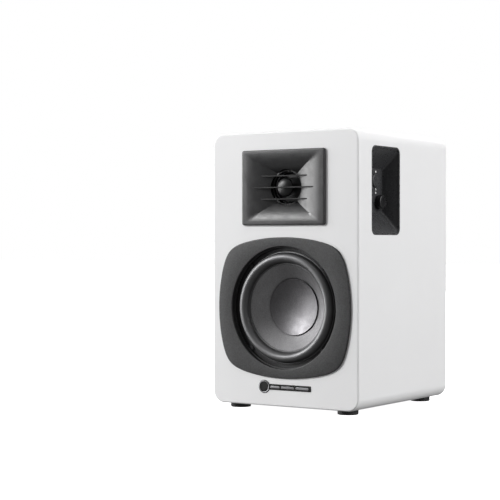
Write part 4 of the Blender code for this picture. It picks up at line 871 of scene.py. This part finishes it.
def build_basket():
    """The pressed frame, with four windows between its arms."""
    basket = turned("steel_basket", "Y", WOOFER, list(BASKET_PROFILE), COATED_METAL, MEDIUM)
    for across, up in ((WINDOW_REACH, WINDOW_HALF), (WINDOW_HALF, WINDOW_REACH)):
        low = (WOOFER[0] - across, WOOFER[1] - up)
        high = (WOOFER[0] + across, WOOFER[1] + up)
        cut(basket, well("Y", low, high, WINDOW_FRONT, WINDOW_BACK, WINDOW_CORNER))
    place(basket, "cabinet", "black_metal", "woofer_basket")


def sector(name, first, last, profile, material):
    """One closed slice of a turned profile."""
    turns = arc(first, last, TINY)
    vertices = []
    for turn in turns:
        for radius, depth in profile:
            across = WOOFER[0] + radius * math.cos(turn)
            vertices.append((across, depth, WOOFER[1] + radius * math.sin(turn)))
    count = len(profile)
    faces = [tuple(range(count)), tuple(range(len(vertices) - count, len(vertices)))]
    for ring in range(len(turns) - 1):
        for step in range(count):
            after = (step + 1) % count
            here = ring * count
            faces.append((here + step, here + after, here + after + count, here + step + count))
    return mesh_object(name, vertices, faces, material)


def build_surround():
    """The half roll, in slices that each span from the fixed edge to the cone's edge."""
    roll_centre = (SURROUND_INNER + SURROUND_OUTER) / 2
    roll_half = (SURROUND_OUTER - SURROUND_INNER) / 2
    rise = SURROUND_EDGE - SURROUND_CREST
    over = []
    under = []
    for turn in arc(math.pi, 0, CURVE):
        over.append((roll_centre + roll_half * math.cos(turn), SURROUND_EDGE - rise * math.sin(turn)))
        thin = SURROUND_EDGE - (rise - SURROUND_SHEET) * math.sin(turn)
        under.append((roll_centre + (roll_half - SURROUND_SHEET) * math.cos(turn), thin))
    lip = [
        (SURROUND_OUTER + 0.1, SURROUND_EDGE - SURROUND_SHEET),
        (SURROUND_LIP, SURROUND_EDGE - SURROUND_SHEET),
        (SURROUND_LIP, SURROUND_EDGE),
    ]
    bead = [(radius, SURROUND_EDGE + depth) for radius, depth in SURROUND_BEAD]
    profile = bead + over[1:-1] + lip + under[::-1]
    width = 2 * math.pi / SECTORS
    for index in range(SECTORS):
        first = index * width
        piece = sector(f"surround_{index + 1:02d}", first, first + width, profile, RUBBER)
        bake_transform(piece)
        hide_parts("woofer_surround")


def build_cone():
    """The slightly bowed cone and the dished dust cap in its middle."""
    front = []
    back = []
    for share in arc(0, 1, CURVE):
        radius = CONE_RADIUS + (CONE_NECK - CONE_RADIUS) * share
        depth = CONE_FRONT + CONE_DEPTH * share + CONE_BOW * math.sin(math.pi * share)
        front.append((radius, depth))
        back.append((radius, depth + CONE_SHEET))
    cone = turned("pulp_cone", "Y", WOOFER, front + back[::-1], CONE_SKIN, ROUND)
    place(cone, "woofer_cone", "cone_paper", "woofer_cone")
    face = []
    rear = []
    for share in arc(0, 1, CURVE):
        depth = CAP_CENTRE_DEPTH - CAP_RISE * share**2
        face.append((CAP_RADIUS * share, depth))
        rear.append((CAP_RADIUS * share, depth + CAP_SHEET))
    face += CAP_EDGE
    cap = turned("dust_cap", "Y", WOOFER, face + rear[::-1], CAP_SKIN, ROUND)
    place(cap, "woofer_cone", "cone_paper", "woofer_dust_cap")


# ---------------------------------------------------------------- control pocket

POCKET_FLOOR_X = 50.5
FLOOR_LOW = (23.0, 141.9)
FLOOR_HIGH = (56.6, 174.5)
FLOOR_CORNER = 2.0
# The back of the tub, inside the cabinet
TUB_LOW = (21.0, 139.9)
TUB_HIGH = (58.6, 176.5)
TUB_CORNER = 5.0
TUB_SHEET = 2.0
RIM_CHAMFER = 0.25
RIM = 1.4
RIM_BEVEL = 0.2
RIM_DEPTH = 0.8
SLOPE_STEPS = 12
KNOB = (50.2, 149.9)
BUTTON = (45.5, 165.7)
JACK = (31.0, 150.0)
LENS_Y = 46.8
LENS_HEIGHTS = (156.6, 159.2, 172.2)
KNOB_HEIGHT = 4.7
KNOB_RADIUS = 5.2
KNOB_EDGE = 0.6
SHAFT_RADIUS = 3.0
SHAFT_LENGTH = 10.5
FLUTES = 28
FLUTE_CENTRE = 5.45
FLUTE_RADIUS = 0.38
BUTTON_HEIGHT = 1.3
BUTTON_RADIUS = 5.0
BUTTON_EDGE = 0.5


def build_pocket():
    """The recessed tub in the right side, with its thin rim and sloping walls."""
    face = WIDTH / 2
    floor = POCKET_FLOOR_X
    low = (POCKET_LOW[0] + FIT, POCKET_LOW[1] + FIT)
    high = (POCKET_HIGH[0] - FIT, POCKET_HIGH[1] - FIT)
    corner = POCKET_CORNER - FIT
    outside = between(low, high, corner)
    edge_low = (low[0] + RIM_CHAMFER, low[1] + RIM_CHAMFER)
    edge_high = (high[0] - RIM_CHAMFER, high[1] - RIM_CHAMFER)
    sections = [
        (floor - TUB_SHEET, between(TUB_LOW, TUB_HIGH, TUB_CORNER)),
        (face - WALL, outside),
        (face - RIM_CHAMFER, outside),
        (face, between(edge_low, edge_high, corner - RIM_CHAMFER)),
    ]
    rim_low = (low[0] + RIM, low[1] + RIM)
    rim_high = (high[0] - RIM, high[1] - RIM)
    rim = between(rim_low, rim_high, POCKET_CORNER - RIM)
    near_low = (rim_low[0] - RIM_BEVEL, rim_low[1] - RIM_BEVEL)
    near_high = (rim_high[0] + RIM_BEVEL, rim_high[1] + RIM_BEVEL)
    near = between(near_low, near_high, POCKET_CORNER - RIM + RIM_BEVEL)
    sections += [(face, near), (face - RIM_CHAMFER, rim), (face - RIM_DEPTH, rim)]
    foot = between(FLOOR_LOW, FLOOR_HIGH, FLOOR_CORNER)
    for share in arc(0, 1, SLOPE_STEPS)[1:]:
        outline = [
            (a[0] + (b[0] - a[0]) * share, a[1] + (b[1] - a[1]) * share) for a, b in zip(rim, foot)
        ]
        sections.append((face - RIM_DEPTH + (floor - face + RIM_DEPTH) * share, outline))
    tub = loft("pocket_tub", "X", sections, POCKET_SKIN)
    cut(
        tub,
        bore("X", KNOB, 3.3, floor - 3, face, SMALL),
        bore("X", BUTTON, 5.15, floor - 3, face),
        bore("X", JACK, 4.15, floor - 3, face, SMALL),
    )
    for height in LENS_HEIGHTS:
        cut(tub, bore("X", (LENS_Y, height), 0.85, floor - 3, face, SMALL))
    place(tub, "cabinet", "pocket_plastic", "control_housing")


def build_controls():
    """The fluted knob, the round button, the headphone jack and the guide for the small lights."""
    floor = POCKET_FLOOR_X
    face = floor + KNOB_HEIGHT
    profile = [
        (0, floor - SHAFT_LENGTH),
        (SHAFT_RADIUS, floor - SHAFT_LENGTH),
        (SHAFT_RADIUS, floor + 0.3),
        (KNOB_RADIUS - 0.2, floor + 0.3),
        (KNOB_RADIUS, floor + 0.5),
    ]
    edge_middle = (KNOB_RADIUS - KNOB_EDGE, face - KNOB_EDGE)
    profile += rounded_edge(edge_middle, KNOB_EDGE, 0, math.pi / 2, EDGE)
    profile += [(3.9, face), (3.7, face - 0.25), (0, face - 0.3)]
    knob = turned("volume_dial", "X", KNOB, profile, KNOB_SKIN, MEDIUM)
    flutes = []
    for index in range(FLUTES):
        turn = 2 * math.pi * index / FLUTES
        spot = (KNOB[0] + FLUTE_CENTRE * math.cos(turn), KNOB[1] + FLUTE_CENTRE * math.sin(turn))
        flutes.append(bore("X", spot, FLUTE_RADIUS, floor + 0.7, face - 0.7, TINY))
    mark_low = (KNOB[0] - 0.25, KNOB[1] + 1.2)
    mark_high = (KNOB[0] + 0.25, KNOB[1] + 3.3)
    flutes.append(well("X", mark_low, mark_high, face - 0.6, face + 1, 0.2))
    cut(knob, *flutes)
    place(knob, "volume_knob", "black_plastic", "volume_knob")

    face = floor + BUTTON_HEIGHT
    profile = [(0, face - 11.0), (2.0, face - 11.0), (2.0, face - 4.5), (BUTTON_RADIUS, face - 4.5)]
    edge_middle = (BUTTON_RADIUS - BUTTON_EDGE, face - BUTTON_EDGE)
    profile += rounded_edge(edge_middle, BUTTON_EDGE, 0, math.pi / 2, EDGE)
    profile += [(3.0, face - 0.08), (0, face - 0.15)]
    button = turned("input_key", "X", BUTTON, profile, POCKET_SKIN, MEDIUM)
    place(button, "input_button", "pocket_plastic", "input_button")

    low, high = local_box("headphone_jack")
    body = box("jack_body", (low.x, low.y, low.z), (floor - 2.3, high.y, high.z), BLACK_PLASTIC, 0.4)
    profile = [(0, floor - 3), (4.0, floor - 3), (4.0, floor + 0.3), (3.8, floor + 0.5), (2.3, floor + 0.5)]
    profile += [(2.1, floor + 0.1), (0, floor + 0.1)]
    join(body, turned("collar", "X", JACK, profile, BLACK_PLASTIC, MEDIUM))
    cut(body, bore("X", JACK, 1.8, low.x + 1, floor + 3, SMALL))
    place(body, "cabinet", "black_plastic", "headphone_jack")

    low, high = local_box("light_pipe")
    plate = box("light_guide", (low.x, low.y, low.z), (low.x + 1.4, high.y, high.z), CLEAR, 0.2)
    for height in LENS_HEIGHTS:
        profile = [(0, low.x + 0.5), (0.75, low.x + 0.5), (0.75, floor + 0.1), (0.5, floor + 0.25),
            (0, floor + 0.3)]
        join(plate, turned("lens", "X", (LENS_Y, height), profile, CLEAR, SMALL))
    cut(plate, bore("X", BUTTON, 5.3, low.x - 1, low.x + 3))
    place(plate, "cabinet", "light_guide", "light_pipe")


# ---------------------------------------------------------------- rear

PLATE_CHAMFER = 0.5
# How far the holes in the plate are smaller than the sockets' bodies behind it
SOCKETS = (("power_inlet", 2.85), ("power_switch", 1.85), ("speaker_terminal", 1.35))
PHONO_HOLE_RADIUS = 4.35
PHONO_RADIUS = 4.2
PHONO_BORE = 3.2
PHONO_BORE_DEPTH = 8
SCREW_COUNT = 4
SCREW_SHANK = 1.2
SCREW_HEAD = 2.4
SCREW_SIDE = 0.3
SCREW_DOME = 0.9
PORT_WALL = 1.8
PORT_FLANGE = 22.0
PORT_EDGE = 0.9
PORT_FLARE = 5


def build_rear():
    """The amplifier plate, its sockets and screws, and the bass port."""
    start = DEPTH + GAP
    face = local_box("amplifier_plate")[1].y
    outline = rounded(*PLATE[:3], (0, PLATE[3]))
    inner_width = PLATE[0] - 2 * PLATE_CHAMFER
    inner_height = PLATE[1] - 2 * PLATE_CHAMFER
    inner = rounded(inner_width, inner_height, PLATE[2] - PLATE_CHAMFER, (0, PLATE[3]))
    sections = [(DEPTH + SEAT_GAP, outline), (face - PLATE_CHAMFER, outline), (face, inner)]
    plate = loft("rear_plate", "Y", sections, COATED_METAL)
    for node, inset in SOCKETS:
        low, high = local_box(node)
        corner_low = (low.x + inset, low.z + inset)
        corner_high = (high.x - inset, high.z - inset)
        cut(plate, well("Y", corner_low, corner_high, DEPTH - REAR, DEPTH + REAR, 1.0))
    for side in ("left", "right"):
        low, high = local_box(f"rca_jack_{side}")
        spot = middle(low, high)
        cut(plate, bore("Y", (spot.x, spot.z), PHONO_HOLE_RADIUS, DEPTH - REAR, DEPTH + REAR))
    place(plate, "cabinet", "black_metal", "amplifier_plate")

    for side, skin, slot in (("left", BLACK_PLASTIC, "black_plastic"), ("right", RED_PLASTIC, "red_plastic")):
        node = f"rca_jack_{side}"
        low, high = local_box(node)
        spot = middle(low, high)
        tip = high.y
        jack = box(f"phono_{side}", tuple(low), (high.x, DEPTH, high.z), skin, 0.4)
        profile = [
            (0, DEPTH - 1),
            (PHONO_RADIUS, DEPTH - 1),
            (PHONO_RADIUS, tip - 0.3),
            (PHONO_RADIUS - 0.3, tip),
            (PHONO_BORE + 0.3, tip),
            (PHONO_BORE, tip - 0.3),
            (PHONO_BORE, tip - PHONO_BORE_DEPTH),
            (0, tip - PHONO_BORE_DEPTH),
        ]
        join(jack, turned("sleeve", "Y", (spot.x, spot.z), profile, skin, MEDIUM))
        cut(jack, bore("Y", (spot.x, spot.z), 1.6, tip - 14, tip + 1, SMALL))
        place(jack, "cabinet", slot, node)

    for index in range(1, SCREW_COUNT + 1):
        node = f"plate_screw_{index}"
        low, high = local_box(node)
        spot = middle(low, high)
        under = face + 0.03
        top = high.y
        shoulder = under + SCREW_SIDE
        profile = [
            (0, low.y),
            (SCREW_SHANK, low.y),
            (SCREW_SHANK, under),
            (SCREW_HEAD, under),
            (SCREW_HEAD, shoulder),
        ]
        for turn in arc(0.3, math.pi / 2, EDGE)[:-1]:
            profile.append((SCREW_HEAD * math.cos(turn), shoulder + SCREW_DOME * math.sin(turn)))
        profile.append((0, shoulder + SCREW_DOME))
        screw = turned(f"pan_screw_{index}", "Y", (spot.x, spot.z), profile, STEEL, SMALL)
        for across, up in ((1.5, 0.28), (0.28, 1.5)):
            corner_low = (spot.x - across, spot.z - up)
            corner_high = (spot.x + across, spot.z + up)
            cut(screw, well("Y", corner_low, corner_high, under + 0.4, top + 2, 0.1))
        place(screw, "cabinet", "plated_steel", node)

    outer = PORT_RADIUS + PORT_WALL
    low, high = local_box("bass_port")
    tip = high.y
    profile = [(outer, low.y), (outer, start), (PORT_FLANGE, start)]
    edge_middle = (PORT_FLANGE - PORT_EDGE, tip - PORT_EDGE)
    profile += rounded_edge(edge_middle, PORT_EDGE, 0, math.pi / 2, EDGE)
    for turn in arc(0, math.pi / 2, ROLL):
        across = PORT_RADIUS + PORT_FLARE * (1 - math.sin(turn))
        profile.append((across, tip - PORT_FLARE * (1 - math.cos(turn))))
    profile.append((PORT_RADIUS, low.y))
    port = turned("port_tube", "Y", (0, PORT_Z), profile, BLACK_PLASTIC, ROUND)
    place(port, "cabinet", "black_plastic", "bass_port")


# ---------------------------------------------------------------- studio

FLOOR_HALF = 6.0
FLOOR_GLOW = 0.92
CAMERA_LENS = 106.73
CAMERA_SENSOR = 36
CAMERA_PLACE = (586.6, -909.2, 121.6)
CAMERA_TILT = 90 - 0.369
CAMERA_TURN = 34.13
LIGHT_TARGET = (0, 0, 0.1)
# The even light of the studio, from below and from above, and the heights it changes between
SKY_LOW = 0.2
SKY_HIGH = 0.22
SKY_BOTTOM = -0.6
SKY_TOP = 0.8
# Each soft lamp: its name, place and size in metres, and its power in watts
LIGHTS = (
    ("key", (-1.7, -1.6, 1.2), (0.6, 0.6), 44.0),
    ("left", (-2.2, -0.8, 0.3), (1.9, 1.4), 50.0),
    ("side", (1.6, 0.35, 0.75), (1.2, 1.2), 26.0),
    ("top", (0, 0, 1.8), (1.6, 1.6), 10.0),
    ("back", (-0.7, 2.2, 0.8), (1.4, 1.4), 20.0),
)


def build_stage():
    """The white floor, which shows to the camera but throws no light on the speaker."""
    inputs = FLOOR.node_tree.nodes["Principled BSDF"].inputs
    inputs["Emission Color"].default_value = (1, 1, 1, 1)
    inputs["Emission Strength"].default_value = FLOOR_GLOW
    size = FLOOR_HALF
    mesh = bpy.data.meshes.new("studio_floor")
    corners = [(-size, -size, 0), (size, -size, 0), (size, size, 0), (-size, size, 0)]
    mesh.from_pydata(corners, [], [(0, 1, 2, 3)])
    mesh.materials.append(FLOOR)
    floor = bpy.data.objects.new("studio_floor", mesh)
    floor.visible_diffuse = False
    floor.visible_glossy = False
    bpy.context.scene.collection.objects.link(floor)


def area_light(name, position, size, power):
    """A rectangular lamp that points at the middle of the speaker."""
    data = bpy.data.lights.new(name, "AREA")
    data.shape = "RECTANGLE"
    data.size, data.size_y = size
    data.energy = power
    light = bpy.data.objects.new(name, data)
    light.location = position
    light.rotation_euler = (Vector(LIGHT_TARGET) - Vector(position)).to_track_quat("-Z", "Y").to_euler()
    bpy.context.scene.collection.objects.link(light)


def build_light():
    """The even studio light, white where the camera looks straight at it, and the lamps."""
    world_light = bpy.data.worlds.new("studio")
    bpy.context.scene.world = world_light
    world_light.use_nodes = True
    nodes, links = world_light.node_tree.nodes, world_light.node_tree.links
    background = nodes["Background"]
    background.inputs["Strength"].default_value = 1.0
    where = nodes.new("ShaderNodeTexCoord")
    split = nodes.new("ShaderNodeSeparateXYZ")
    links.new(where.outputs["Generated"], split.inputs["Vector"])
    height = nodes.new("ShaderNodeMapRange")
    height.inputs["From Min"].default_value = SKY_BOTTOM
    height.inputs["From Max"].default_value = SKY_TOP
    height.inputs["To Min"].default_value = SKY_LOW
    height.inputs["To Max"].default_value = SKY_HIGH
    links.new(split.outputs["Z"], height.inputs["Value"])
    links.new(height.outputs["Result"], background.inputs["Color"])
    seen = nodes.new("ShaderNodeBackground")
    seen.inputs["Color"].default_value = (1, 1, 1, 1)
    path = nodes.new("ShaderNodeLightPath")
    mix = nodes.new("ShaderNodeMixShader")
    links.new(path.outputs["Is Camera Ray"], mix.inputs["Fac"])
    links.new(background.outputs["Background"], mix.inputs[1])
    links.new(seen.outputs["Background"], mix.inputs[2])
    links.new(mix.outputs["Shader"], nodes["World Output"].inputs["Surface"])
    for name, position, size, power in LIGHTS:
        area_light(name, position, size, power)
    bpy.context.scene.view_settings.view_transform = "Standard"


def build_camera():
    """A long lens, a little above the middle of the speaker and to its right."""
    data = bpy.data.cameras.new("camera")
    data.lens = CAMERA_LENS
    data.sensor_width = CAMERA_SENSOR
    camera = bpy.data.objects.new("camera", data)
    camera.location = world(CAMERA_PLACE)
    camera.rotation_euler = (math.radians(CAMERA_TILT), 0, math.radians(CAMERA_TURN))
    bpy.context.scene.collection.objects.link(camera)
    bpy.context.scene.camera = camera


def main():
    """Builds the whole scene, one subcomponent after another."""
    paint_cad()
    build_camera()
    build_light()
    build_stage()
    build_cabinet()
    build_feet()
    build_badge()
    build_horn()
    build_diffuser()
    build_tweeter()
    build_trim_ring()
    build_basket()
    build_surround()
    build_cone()
    build_pocket()
    build_controls()
    build_rear()


main()
